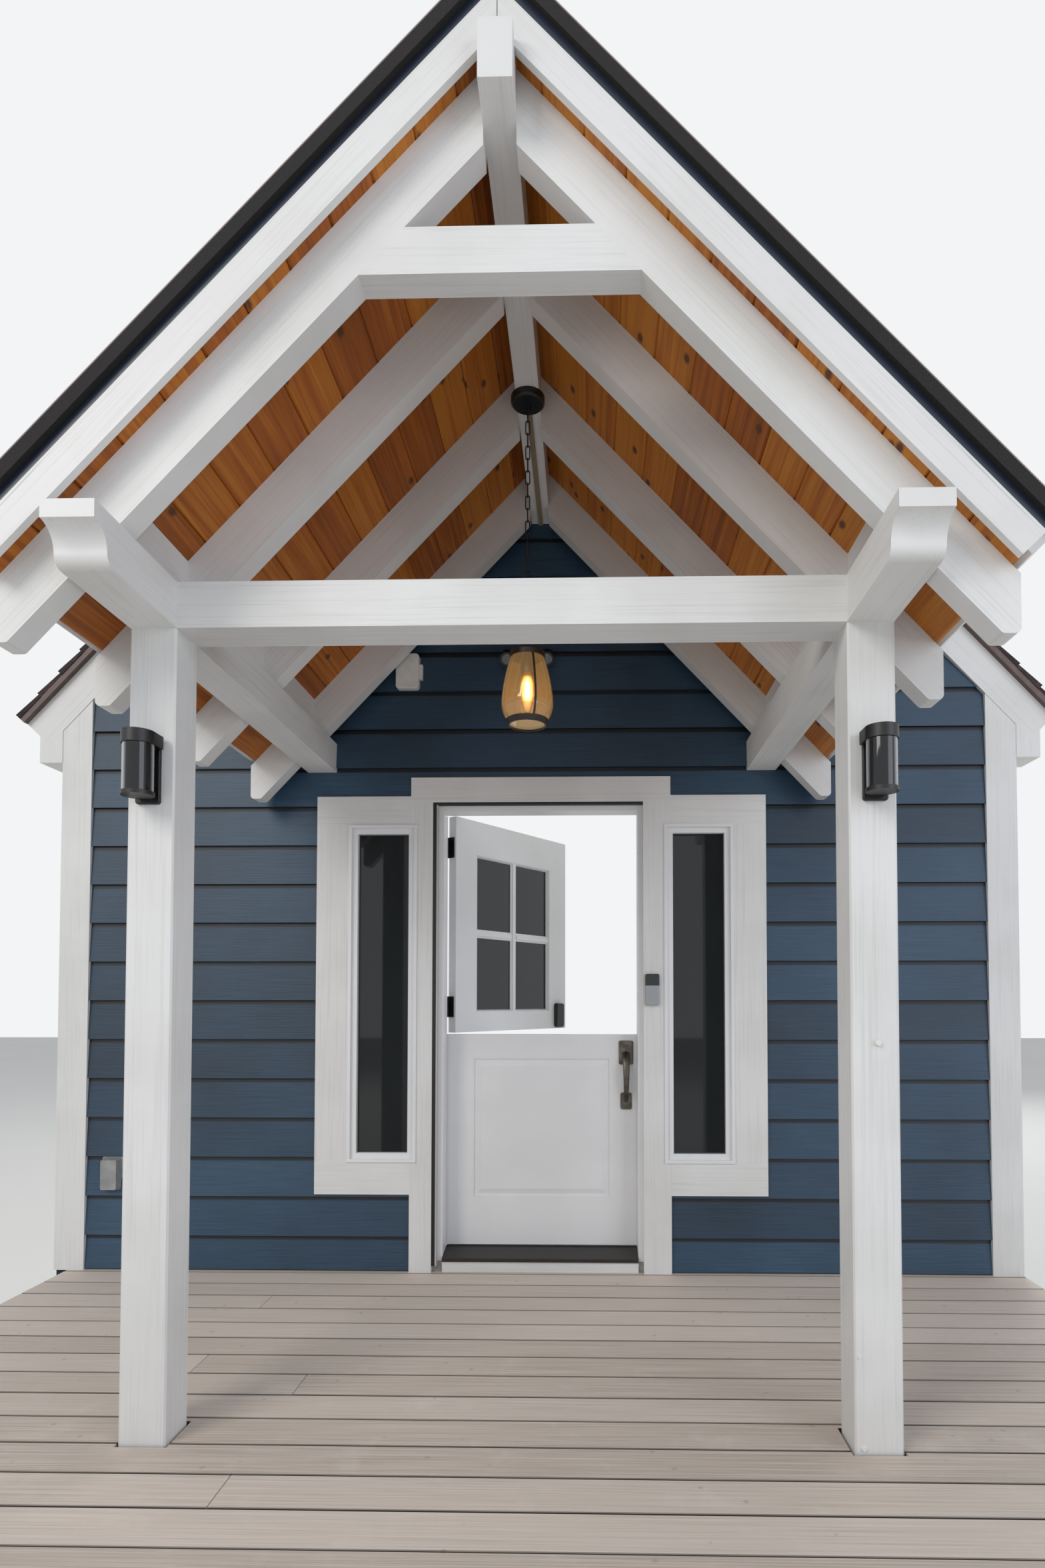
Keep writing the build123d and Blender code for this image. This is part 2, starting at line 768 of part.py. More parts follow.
def make_frieze_blocks():
    """Upright blocks on the plate beam that close the space between rafters."""
    inner = post_inner_x + frieze_inset
    outer = inner + frieze_thickness
    points = [
        (inner, beam_top),
        (outer, beam_top),
        (outer, rafter_top_peak - outer * slope),
        (inner, rafter_top_peak - inner * slope),
    ]
    fronts = [front_rafter_y] + common_rafter_faces
    blocks = []
    for near, far in zip(fronts[:-1], fronts[1:]):
        blocks.append(plate(points, near + rafter_thickness, far))
    return Compound(children=blocks)


# Porch roof covering

def make_ceiling():
    return roof_board(rafter_top_peak, 0, ceiling_thickness, eave_reach, roof_front_y, face_y)


def make_roof_slab():
    return roof_board(rafter_top_peak, ceiling_thickness, roof_top_lift, eave_reach,
                      roof_front_y, face_y)


def make_barge_board():
    """Board along the front edge of the roof, cut round the ridge beam that passes through."""
    board = roof_board(rafter_top_peak, -barge_drop, barge_top_lift, eave_reach,
                       rake_y, roof_front_y)
    return board - through(-ridge_width / 2, ridge_width / 2, rake_y, roof_front_y,
                           ridge_underside, ridge_top)


def make_verge_trim():
    """Dark edge over the barge board: a band, and above it the thicker edge of the covering."""
    band_top = barge_top_lift + verge_band_depth
    band = roof_board(rafter_top_peak, barge_top_lift, band_top, eave_reach,
                      rake_y + verge_band_setback, roof_front_y)
    edge = roof_board(rafter_top_peak, band_top, verge_top_lift, eave_reach,
                      rake_y - verge_edge_lip, roof_front_y)
    return band + edge


def make_eave_trim():
    """Dark strip on the square-cut lower end of the roof covering."""
    reach = eave_reach + eave_trim_thickness * rise
    points = [
        slope_point(rafter_top_peak, eave_reach, ceiling_thickness),
        slope_point(rafter_top_peak, reach, ceiling_thickness),
        slope_point(rafter_top_peak, reach, verge_top_lift),
        slope_point(rafter_top_peak, eave_reach, verge_top_lift),
    ]
    return plate(points, roof_front_y, face_y)


def make_ridge_cap():
    low = roof_top_lift / rise + rafter_top_peak
    side_x = ridge_cap_width * rise
    high = low + ridge_cap_thickness / rise
    points = [
        (0, low),
        (side_x, low - side_x * slope),
        slope_point(low, side_x, ridge_cap_thickness),
        (0, high),
    ]
    right = plate(points, roof_front_y, face_y)
    return right + mirrored(right)


# Deck

def make_deck_boards():
    boards = block(-deck_half_width, deck_half_width, deck_front_y, face_y,
                   -deck_board_thickness, 0)
    notch = block(post_inner_x - deck_post_gap, post_outer_x + deck_post_gap,
                  post_front_y - deck_post_gap, post_front_y + post_size + deck_post_gap,
                  -deck_board_thickness - cut_clearance, cut_clearance)
    return boards - notch - mirrored(notch)


def make_deck_rim():
    front = deck_front_y + deck_rim_setback
    half = deck_half_width - deck_rim_setback
    outer = block(-half, half, front, face_y, -deck_top, -deck_board_thickness)
    inner = block(-half + deck_joist_thickness, half - deck_joist_thickness,
                  front + deck_joist_thickness, face_y - deck_joist_thickness,
                  -deck_top - cut_clearance, -deck_board_thickness + cut_clearance)
    return outer - inner


def make_deck_joists():
    """Joists from the front rim to the wall's one; two lie against the sides of each post."""
    front = deck_front_y + deck_rim_setback + deck_joist_thickness
    half = deck_half_width - deck_rim_setback - deck_joist_thickness
    beside_post = post_inner_x - deck_joist_thickness / 2
    outside_post = post_outer_x + deck_joist_thickness / 2
    inner_pitch = 2 * beside_post / deck_inner_bays
    outer_pitch = (half - outside_post) / deck_outer_bays
    places = [-beside_post + inner_pitch * index for index in range(deck_inner_bays + 1)]
    for index in range(deck_outer_bays):
        places.append(outside_post + outer_pitch * index)
        places.append(-outside_post - outer_pitch * index)
    joists = []
    for x in places:
        joists.append(block(x - deck_joist_thickness / 2, x + deck_joist_thickness / 2,
                            front, face_y - deck_joist_thickness,
                            -deck_top, -deck_board_thickness))
    return Compound(children=joists)


# Pendant lantern

def hang_ring(height):
    """Small upright ring of wire, centred at a height on the pendant's line."""
    ring = Rot(90, 0, 0) * Torus(hang_ring_radius, hang_wire / 2)
    return Pos(0, pendant_y, deck_top + height) * ring


def make_canopy():
    canopy = Cylinder(canopy_radius, canopy_height, align=inward)
    rim = canopy.edges().filter_by(GeomType.CIRCLE).sort_by(Axis.Z)[0]
    canopy = fillet(rim, canopy_round)
    placed = Pos(0, pendant_y, deck_top + ridge_underside) * canopy
    return placed + hang_ring(ridge_underside - canopy_height - hang_ring_radius)


def make_chain_link(straight):
    """One long link of round wire, centred on the origin in the upright plane across x."""
    wire = Circle(hang_wire / 2)
    bend = revolve(Pos(chain_link_radius, 0) * wire, axis=Axis.Y, revolution_arc=180)
    bend = Pos(0, 0, -straight / 2) * bend
    link = bend + mirror(bend, about=Plane.XY)
    for side in (-1, 1):
        leg = Cylinder(hang_wire / 2, straight)
        link += Pos(side * chain_link_radius, 0, 0) * leg
    return link


def make_chain():
    """Links hung one in the next from the canopy's ring to the lantern's, turned by turns."""
    step = hang_wire + chain_play
    span = hang_ring_bottom - lantern_ring_top + step
    half_count = round((span / chain_link_pitch - 1) / 2)
    count = 2 * half_count + 1
    pitch = span / count
    straight = pitch + step - 2 * chain_link_radius
    link = make_chain_link(straight)
    turned_link = Rot(0, 0, 90) * link
    first = hang_ring_bottom + step - straight / 2 - chain_link_radius
    links = []
    for index in range(count):
        shape = link if index % 2 else turned_link
        links.append(Pos(0, pendant_y, deck_top + first - index * pitch) * shape)
    return Compound(children=links)


def lantern_line(offset):
    """Outline of the lantern's glass, moved out from it by an offset."""
    low = lantern_glass_bottom
    top = (lantern_top_radius + offset, lantern_glass_top)
    shoulder = (lantern_shoulder_radius + offset, low + lantern_shoulder_height)
    widest = (lantern_widest_radius + offset, low + lantern_widest_height)
    belly = (lantern_belly_radius + offset, low + lantern_belly_height)
    foot = (lantern_band_radius - lantern_band_wall / 2 + offset, low)
    return ThreePointArc(top, shoulder, widest) + ThreePointArc(widest, belly, foot)


def lantern_shell(inner, outer):
    """Area between two offsets of the lantern's outline."""
    inside = lantern_line(inner)
    outside = lantern_line(outer)
    ends = Line(inside @ 0, outside @ 0) + Line(inside @ 1, outside @ 1)
    return make_face(inside + outside + ends)


def make_lantern_frame():
    """Cap with its ring and socket, two bent straps and the tapered band round the foot."""
    cap = Cylinder(lantern_top_radius + lantern_strap_thickness, lantern_cap_height, align=outward)
    top_rim = cap.edges().filter_by(GeomType.CIRCLE).sort_by(Axis.Z)[-1]
    cap = fillet(top_rim, lantern_cap_round)
    frame = Pos(0, pendant_y, deck_top + lantern_glass_top) * cap
    frame += hang_ring(lantern_glass_top + lantern_cap_height + hang_ring_radius)
    socket = Cylinder(socket_radius, socket_length, align=inward)
    frame += Pos(0, pendant_y, deck_top + lantern_glass_top) * socket
    band = Polyline((lantern_band_foot_radius - lantern_band_wall, lantern_bottom),
                    (lantern_band_foot_radius, lantern_bottom),
                    (lantern_band_radius, lantern_glass_bottom),
                    (lantern_band_radius - lantern_band_wall, lantern_glass_bottom), close=True)
    frame += turned(make_face(band), 0, pendant_y)
    side = Plane.XZ * lantern_shell(lantern_strap_play,
                                    lantern_strap_play + lantern_strap_thickness)
    strap = extrude(side, amount=lantern_strap_width / 2, both=True)
    for index in range(lantern_strap_count):
        turn = lantern_strap_turn - 90 + index * 360 / lantern_strap_count
        frame += Pos(0, pendant_y, deck_top) * (Rot(0, 0, turn) * strap)
    return frame


def lantern_band_bore(height):
    """Inner radius of the tapered band at a height above its foot."""
    taper = (lantern_band_radius - lantern_band_foot_radius) / lantern_band_height
    return lantern_band_foot_radius - lantern_band_wall + height * taper


def make_lantern_glass():
    """Barrel shade and the flat lens that closes the foot."""
    shade = turned(lantern_shell(-lantern_glass_wall, 0), 0, pendant_y)
    lens_top = lantern_lens_lift + lantern_lens_thickness
    lens = Cone(lantern_band_bore(lantern_lens_lift), lantern_band_bore(lens_top),
                lantern_lens_thickness, align=outward)
    low = lantern_bottom + lantern_lens_lift
    return Compound(children=[shade, Pos(0, pendant_y, deck_top + low) * lens])


def make_bulb():
    """Long bulb, widest near its socket and narrowing to a round end."""
    top = lantern_glass_top - socket_length
    low = top - bulb_length
    centre = low + bulb_end_radius
    widest = (bulb_radius, low + bulb_widest_height)
    side = Spline((bulb_neck_radius, top), widest, (bulb_end_radius, centre))
    end = CenterArc((0, centre), bulb_end_radius, 0, -90)
    back = Polyline((0, low), (0, top), (bulb_neck_radius, top))
    return turned(make_face(side + end + back), 0, pendant_y)


def make_wiring_batten():
    """Stained strip that hides the cable along the ridge, from the canopy to the wall."""
    return block(-wiring_batten_width / 2, wiring_batten_width / 2,
                 pendant_y + canopy_radius, face_y,
                 ridge_underside - wiring_batten_thickness, ridge_underside)


# Lamps on the posts

def half_round(radius, back_width, low, high):
    """Upright D shape: round in front about the lamp's axis, straight back to the plate."""
    depth = post_lamp_axis_distance - post_lamp_plate_thickness
    outline = Circle(radius) + Pos(0, depth / 2) * Rectangle(back_width, depth)
    return Pos(lamp_x, lamp_axis_y, deck_top + low) * extrude(outline, amount=high - low)


def make_post_lamp():
    """Back plate, half-round hood with the lamp tube under it, and the ring that holds the glass."""
    lamp = rounded_plate(lamp_x, post_lamp_bottom + post_lamp_height / 2, post_lamp_plate_width,
                         post_lamp_height, post_front_y, post_lamp_plate_thickness)
    lamp += half_round(post_lamp_hood_radius, 2 * post_lamp_hood_radius, lamp_hood_bottom,
                       lamp_hood_bottom + post_lamp_hood_height)
    lamp += half_round(post_lamp_ring_radius, post_lamp_arm_width,
                       post_lamp_bottom + post_lamp_ring_lift, lamp_ring_top)
    tube = Cylinder(post_lamp_tube_radius, post_lamp_tube_length, align=inward)
    return lamp + Pos(lamp_x, lamp_axis_y, deck_top + lamp_hood_bottom) * tube


def make_post_lamp_glass():
    wall = Circle(post_lamp_glass_radius) - Circle(post_lamp_glass_radius - post_lamp_glass_wall)
    glass = extrude(wall, amount=lamp_hood_bottom - lamp_ring_top)
    return Pos(lamp_x, lamp_axis_y, deck_top + lamp_ring_top) * glass


# Small fittings on the wall

def make_doorbell():
    x = casing_inner_half + doorbell_edge_distance + doorbell_width / 2
    z = doorbell_bottom + doorbell_height / 2
    bell = rounded_plate(x, z, doorbell_width, doorbell_height, casing_y, doorbell_thickness)
    button = Cylinder(doorbell_button_radius, doorbell_thickness + doorbell_button_proud, align=outward)
    at = Plane(origin=(x, casing_y, deck_top + doorbell_bottom + doorbell_button_height),
               x_dir=(1, 0, 0), z_dir=(0, -1, 0))
    return bell + at * button


def make_outlet_box():
    """Weatherproof socket cover: a flat base and a cover that narrows towards the front."""
    outer = wall_half_width - corner_board_width - outlet_corner_distance
    x = house_centre_x - outer + outlet_width / 2
    z = outlet_bottom + outlet_height / 2
    base = rounded_plate(x, z, outlet_width, outlet_height, face_y, outlet_base_thickness)
    sections = []
    for depth, inset in [(outlet_base_thickness, outlet_cover_inset),
                         (outlet_base_thickness + outlet_cover_depth, outlet_cover_taper)]:
        at = Plane(origin=(x, face_y - depth, deck_top + z), x_dir=(1, 0, 0), z_dir=(0, -1, 0))
        sections.append(at * RectangleRounded(outlet_width - 2 * inset, outlet_height - 2 * inset,
                                              fitting_corner_radius))
    return base + loft(sections)


def make_alarm_box():
    """Box of the alarm's siren with its small side lens."""
    z = alarm_bottom + alarm_height / 2
    body = rounded_plate(-alarm_centre_x, z, alarm_width, alarm_height, face_y, alarm_depth,
                         2 * fitting_corner_radius)
    side_x = -alarm_centre_x + alarm_width / 2
    lens = block(side_x - cut_clearance, side_x + alarm_lens_width, face_y - alarm_lens_depth,
                 face_y, z - alarm_lens_height / 2, z + alarm_lens_height / 2)
    return body + lens


def make_flood_light():
    """Two tilted lamp heads on one arm, on a round base."""
    base = Cylinder(flood_base_radius, flood_base_thickness, align=outward)
    middle = (-flood_light_offset, face_y, deck_top + flood_light_height)
    light = Plane(origin=middle, x_dir=(1, 0, 0), z_dir=(0, -1, 0)) * base
    arm_y = face_y - flood_base_thickness - flood_arm_radius / 2
    arm = Plane.YZ * Cylinder(flood_arm_radius, 2 * flood_arm_reach)
    light += Pos(middle[0], arm_y, middle[2]) * arm
    outline = Polyline((0, 0), (flood_head_neck_radius, 0),
                       (flood_head_radius, flood_head_neck_length),
                       (flood_head_radius, flood_head_length), (0, flood_head_length),
                       close=True)
    head = revolve(Plane.XZ * make_face(outline), axis=Axis.Z)
    head = Rot(90 + flood_head_tilt, 0, 0) * (Pos(0, 0, -flood_arm_radius) * head)
    for side in (-1, 1):
        light += Pos(middle[0] + side * flood_arm_reach, arm_y, middle[2]) * head
    return light


# The pieces, one file each

def make_parts():
    gable = make_gable()
    hinges = [leaf_bottom + hinge_end_inset, leaf_split - hinge_split_inset,
              leaf_split + hinge_split_inset, leaf_top - hinge_end_inset]
    return {
        "wall_right": make_wall_side(gable),
        "wall_left": mirrored(make_wall_side(mirrored(gable))),
        "wall_over_door": make_wall_over_door(gable),
        "sill_base": make_sill_base(),
        "corner_boards": house_pair(make_corner_board()),
        "rake_boards": house_pair(make_rake_board()),
        "house_roof_edge": house_pair(make_house_roof_edge()),
        "eave_boxes": house_pair(make_eave_box()),
        "door_frame": make_door_frame(),
        "screen_track": make_screen_track(),
        "threshold": make_threshold(),
        "sill_board": make_sill_board(),
        "door_casing": make_door_casing(),
        "sidelight_casings": pair(make_sidelight_casing()),
        "sidelight_sashes": pair(make_sidelight_sash()),
        "sidelight_glass": pair(make_sidelight_glass()),
        "lower_leaf": make_lower_leaf(),
        "handle_set": make_handle_set(),
        "lower_hinges": make_hinge_halves(hinges[:2], False),
        "jamb_hinges": make_hinge_halves(hinges, True),
        "upper_leaf": swing(make_upper_leaf(), upper_leaf_open_angle),
        "upper_leaf_glass": swing(make_upper_leaf_glass(), upper_leaf_open_angle),
        "upper_lock": swing(make_upper_lock(), upper_leaf_open_angle),
        "upper_hinges": swing(make_hinge_halves(hinges[2:], False), upper_leaf_open_angle),
        "posts": pair(make_post()),
        "plate_beams": pair(make_plate_beam()),
        "tie_beam": make_tie_beam(),
        "ridge_beam": make_ridge_beam(),
        "front_rafters": pair(make_rafter(front_rafter_y)),
        "common_rafters": make_common_rafters(),
        "collar_tie": make_collar(),
        "frieze_blocks": pair(make_frieze_blocks()),
        "ceiling": pair(make_ceiling()),
        "roof_slabs": pair(make_roof_slab()),
        "barge_boards": pair(make_barge_board()),
        "verge_trim": pair(make_verge_trim()),
        "eave_trim": pair(make_eave_trim()),
        "ridge_cap": make_ridge_cap(),
        "deck_boards": make_deck_boards(),
        "deck_rim": make_deck_rim(),
        "deck_joists": make_deck_joists(),
        "wiring_batten": make_wiring_batten(),
        "pendant_canopy": make_canopy(),
        "pendant_chain": make_chain(),
        "pendant_frame": make_lantern_frame(),
        "pendant_glass": make_lantern_glass(),
        "pendant_bulb": make_bulb(),
        "post_lamps": pair(make_post_lamp()),
        "post_lamp_glass": pair(make_post_lamp_glass()),
        "doorbell": make_doorbell(),
        "outlet_box": make_outlet_box(),
        "alarm_box": make_alarm_box(),
        "flood_light": make_flood_light(),
    }


os.makedirs("parts", exist_ok=True)
for name, shape in make_parts().items():
    export_step(shape, f"parts/{name}.step")
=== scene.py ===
# Entrance porch: finishes, boards, shingles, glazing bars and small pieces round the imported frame
import bpy
import bmesh
import json
import random
from math import cos, pi, radians, sin, tan
from mathutils import Matrix, Vector


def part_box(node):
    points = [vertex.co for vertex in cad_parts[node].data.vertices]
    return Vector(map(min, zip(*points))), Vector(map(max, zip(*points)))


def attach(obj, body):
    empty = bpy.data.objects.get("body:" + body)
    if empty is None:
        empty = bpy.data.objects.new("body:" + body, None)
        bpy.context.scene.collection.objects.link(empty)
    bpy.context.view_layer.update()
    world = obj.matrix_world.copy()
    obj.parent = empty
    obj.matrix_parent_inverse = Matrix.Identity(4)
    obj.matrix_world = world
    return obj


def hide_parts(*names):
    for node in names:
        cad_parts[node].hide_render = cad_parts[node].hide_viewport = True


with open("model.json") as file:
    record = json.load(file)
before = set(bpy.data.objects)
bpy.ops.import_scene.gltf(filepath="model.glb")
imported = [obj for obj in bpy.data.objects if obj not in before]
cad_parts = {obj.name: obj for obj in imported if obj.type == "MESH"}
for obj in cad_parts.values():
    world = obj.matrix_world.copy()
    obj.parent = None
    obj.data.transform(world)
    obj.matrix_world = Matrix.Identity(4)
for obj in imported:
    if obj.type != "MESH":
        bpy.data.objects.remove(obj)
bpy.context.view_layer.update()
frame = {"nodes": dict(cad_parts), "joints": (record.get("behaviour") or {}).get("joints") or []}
nodes = frame["nodes"]
mm = 0.001
dice = random.Random(7)

# Lines that several pieces share, read from the frame
pitch = radians(46.5)
wallLow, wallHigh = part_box("wall_left")
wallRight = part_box("wall_right")[1].x
wallHalf = (wallRight - wallLow.x) / 2
wallFace = wallLow.y
wallBack = wallHigh.y
houseCentre = (wallRight + wallLow.x) / 2
deckLow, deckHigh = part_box("deck_boards")
deckTop = deckHigh.z
deckFront = deckLow.y
ceilingLow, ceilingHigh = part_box("ceiling")
ceilingThickness = 20 * mm
ceilingReach = ceilingHigh.x - ceilingThickness * sin(pitch)
roofFront = ceilingLow.y
porchRoof = {"centre": 0.0, "peak": ceilingLow.z + ceilingReach * tan(pitch)}
slopeLength = ceilingReach / cos(pitch)
print("frame loaded:", len(nodes), "nodes")


# Colours are written as sRGB hex and turned to linear here
def linear(colour):
    parts = [int(colour[start:start + 2], 16) / 255 for start in (1, 3, 5)]
    return [c / 12.92 if c <= 0.04045 else ((c + 0.055) / 1.055) ** 2.4 for c in parts] + [1.0]


# Adds one node to a material or the world and hands back one of its outputs. An input is a plain
# value, a hex colour or another node's output, and the stops are those of a colour ramp.
def addNode(owner, kind, inputs=None, out=0, stops=None, **settings):
    tree = owner.node_tree
    node = tree.nodes.new("ShaderNode" + kind)
    for setting, value in settings.items():
        setattr(node, setting, value)
    for socket, value in (inputs or {}).items():
        if isinstance(value, bpy.types.NodeSocket):
            tree.links.new(value, node.inputs[socket])
        else:
            node.inputs[socket].default_value = linear(value) if isinstance(value, str) else value
    if stops:
        elements = node.color_ramp.elements
        while len(elements) < len(stops):
            elements.new(0.5)
        for element, (position, colour) in zip(elements, stops):
            element.position = position
            element.color = linear(colour)
    return node.outputs[out]


# A Mix node's settings for two colours, which are its inputs 6 and 7 and its output 2
colours = {"out": 2, "data_type": "RGBA"}
multiply = dict(colours, blend_type="MULTIPLY")


# Starts a material; what is the same all over goes on the shader's own sockets
def newMaterial(name, **sockets):
    material = bpy.data.materials.new(name)
    material.use_nodes = True
    shader = material.node_tree.nodes["Principled BSDF"]
    for socket, value in sockets.items():
        shader.inputs[socket.replace("_", " ")].default_value = value
    return material


# Links what varies to the shader, and the relief of a height, then hands the material back
def linkShader(material, height=None, relief=None, **sources):
    shader = material.node_tree.nodes["Principled BSDF"]
    if relief:
        sources["Normal"] = addNode(material, "Bump", {
            "Height": height, "Strength": relief["bump"], "Distance": relief["depthMm"] * mm})
    for socket, source in sources.items():
        material.node_tree.links.new(source, shader.inputs[socket.replace("_", " ")])
    return material


# How far a point lies along one axis of the part
def placeAlong(material, axis):
    coords = addNode(material, "TexCoord", out="Object")
    return addNode(material, "SeparateXYZ", {"Vector": coords}, axis)


# Share of a node's height, from 0 at its foot to 1 at its top
def heightShare(material, nodeName):
    low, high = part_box(nodeName)
    return addNode(material, "MapRange", {
        "Value": placeAlong(material, "Z"), "From Min": low.z, "From Max": high.z})


# How squarely a face looks along an axis: 1 on end grain, 0 along the grain
def facingAlong(material, axis):
    normal = addNode(material, "TexCoord", out="Normal")
    part = addNode(material, "SeparateXYZ", {"Vector": normal}, axis)
    return addNode(material, "Math", {0: part}, operation="ABSOLUTE")


# A noise with a share of each board's own tint added to it
def tinted(material, share, noise):
    tint = addNode(material, "Attribute", out="Fac", attribute_name="tint")
    return addNode(material, "Math", {0: tint, 1: share, 2: noise}, operation="MULTIPLY_ADD")


# Boards on a slope are mapped alike on both sides of a centre line
slopeCentres = {"porchSlope": 0.0, "houseSlope": houseCentre}


# Coordinates whose first axis runs with the grain, counted in grain lengths and widths. A pair of
# heights is for a casing: its grain is upright between them, in the legs, and across in the rails.
def grainCoords(material, direction, sizeMm):
    if isinstance(direction, tuple):
        height = placeAlong(material, "Z")
        below = addNode(material, "Math", {0: height, 1: direction[0]}, operation="LESS_THAN")
        above = addNode(material, "Math", {0: height, 1: direction[1]}, operation="GREATER_THAN")
        return addNode(material, "Mix", {
            0: addNode(material, "Math", {0: below, 1: above}),
            4: grainCoords(material, "z", sizeMm),
            5: grainCoords(material, "x", sizeMm)}, 1, data_type="VECTOR")
    along, across = [1000 / size for size in sizeMm]
    if direction == "board":
        source = addNode(material, "UVMap", uv_map="grain")
        scale = (along, across, 1)
    else:
        source = addNode(material, "TexCoord", out="Object")
        scale = [along if axis == direction else across for axis in "xyz"]
    if direction in slopeCentres:
        parts = addNode(material, "SeparateXYZ", {"Vector": source}).node.outputs
        side = addNode(material, "Math", {0: parts["X"], 1: slopeCentres[direction]},
                       operation="SUBTRACT")
        side = addNode(material, "Math", {0: side}, operation="ABSOLUTE")
        source = addNode(material, "CombineXYZ", {"X": side, "Y": parts["Y"], "Z": parts["Z"]})
        source = addNode(material, "VectorRotate", {"Vector": source, "Angle": -pitch},
                         rotation_type="Y_AXIS")
        scale = (along, across, across)
    return addNode(material, "Mapping", {"Vector": source, "Scale": scale})


# Noise at its real size: one in millimetres, or a length and a width along the grain. Where it has
# stops, they turn it into colours.
def pattern(material, sizeMm, direction=None, stops=None, **inputs):
    if direction:
        inputs.update(Vector=grainCoords(material, direction, sizeMm), Scale=1)
    else:
        inputs.update(Vector=addNode(material, "TexCoord", out="Object"), Scale=1000 / sizeMm)
    noise = addNode(material, "TexNoise", inputs)
    return addNode(material, "ValToRGB", {0: noise}, stops=stops) if stops else noise


# Exterior trim: softwood under solid white acrylic. Gives the eye a quiet off-white with faint
# raised grain, a few hairline checks along it and slightly greyer patches.
trimPaint = {
    "patch": [(0.35, "#D7D7D5"), (0.6, "#DFDFDE")], "patchMm": 380,
    "fibre": [(0.3, "#F3F3F2"), (0.5, "#FFFFFF")], "grainMm": (420, 7),
    "check": "#BDBCB9", "checkSpread": [(0.77, "#000000"), (0.80, "#FFFFFF")], "checkMm": (900, 8),
    "bump": 0.2, "depthMm": 0.6,
}


def makeTrimPaint(name, direction, legs=None):
    sizes = trimPaint
    material = newMaterial("satinPaintedTimber_" + name, Roughness=0.5)
    facing = facingAlong(material, "Z" if direction in slopeCentres else direction.upper())
    mask = addNode(material, "Math", {0: 1.0, 1: facing}, operation="SUBTRACT")
    grain = pattern(material, sizes["grainMm"], legs or direction, Detail=5, Roughness=0.6)
    base = pattern(material, sizes["patchMm"], stops=sizes["patch"], Detail=3)
    fibre = addNode(material, "ValToRGB", {0: grain}, stops=sizes["fibre"])
    base = addNode(material, "Mix", {0: mask, 6: base, 7: fibre}, **multiply)
    crack = pattern(material, sizes["checkMm"], direction, sizes["checkSpread"], Detail=2,
                    Roughness=0.4)
    crack = addNode(material, "Math", {0: crack, 1: mask}, operation="MULTIPLY")
    base = addNode(material, "Mix", {0: crack, 6: base, 7: sizes["check"]}, **colours)
    height = addNode(material, "Math", {0: grain, 1: mask}, operation="MULTIPLY")
    return linkShader(material, height, sizes, Base_Color=base)


# Lap siding: fibre cement embossed like sawn cedar, painted dark slate blue. Gives the eye long
# horizontal ridges, a low sheen, slow changes of tone from board to board, and a painted shadow
# line under each lap.
siding = {"course": 181.1 * mm, "firstLap": 160 * mm, "butt": 16 * mm, "top": 2.5 * mm,
          "lap": 0.4 * mm, "joint": 1 * mm, "footGap": 6 * mm, "cornerBoard": 139 * mm,
          "leastCourse": 5 * mm}
sidingPaint = {
    "tones": [(0.35, "#1D303F"), (0.62, "#263F54"), (0.95, "#345169")], "weatherMm": 700,
    "tintShare": 0.35, "fibre": [(0.32, "#C9CDD2"), (0.6, "#FFFFFF")], "fibreShare": 0.8,
    "grainMm": (260, 6), "bump": 0.55, "depthMm": 1.6,
    "lapShadow": "#484D53", "lapShadowShare": 0.085, "lapShadowFade": 1.5,
}


def makeSidingPaint():
    sizes = sidingPaint
    material = newMaterial("paintedFibreCement", Roughness=0.48)
    grain = pattern(material, sizes["grainMm"], "board", Detail=6, Roughness=0.62)
    weather = pattern(material, sizes["weatherMm"], Detail=4)
    tone = tinted(material, sizes["tintShare"], weather)
    base = addNode(material, "ValToRGB", {0: tone}, stops=sizes["tones"])
    fibre = addNode(material, "ValToRGB", {0: grain}, stops=sizes["fibre"])
    base = addNode(material, "Mix", {0: sizes["fibreShare"], 6: base, 7: fibre}, **multiply)
    # Painted shadow under each lap: the top of each course, just below the next butt, is darkened
    count = addNode(material, "Math", {
        0: placeAlong(material, "Z"), 1: 1 / siding["course"],
        2: -(deckTop + siding["firstLap"]) / siding["course"]}, operation="MULTIPLY_ADD")
    share = addNode(material, "Math", {0: count}, operation="FRACT")
    shade = addNode(material, "ValToRGB", {0: share}, stops=[
        (1 - sizes["lapShadowShare"] * sizes["lapShadowFade"], "#FFFFFF"),
        (1 - sizes["lapShadowShare"], sizes["lapShadow"])])
    base = addNode(material, "Mix", {0: 1.0, 6: base, 7: shade}, **multiply)
    return linkShader(material, grain, sizes, Base_Color=base)


# Ceiling: tongue-and-groove knotty pine with an oil stain. Gives the eye amber to brown boards,
# dark growth rings and round knots, with a soft sheen.
ceilingStain = {
    "tones": [(0.38, "#884608"), (0.62, "#AA5D0F"), (0.92, "#C57C20")], "tintShare": 0.45,
    "ringMm": (900, 22), "streak": [(0.3, "#D9C8B6"), (0.6, "#FFFFFF")], "streakShare": 0.6,
    "fibreMm": (140, 1.6), "knot": "#57300F", "knotMm": (330, 330 * 0.62),
    "knotSpread": [(0.035, "#FFFFFF"), (0.075, "#000000")], "bump": 0.25, "depthMm": 0.4,
}


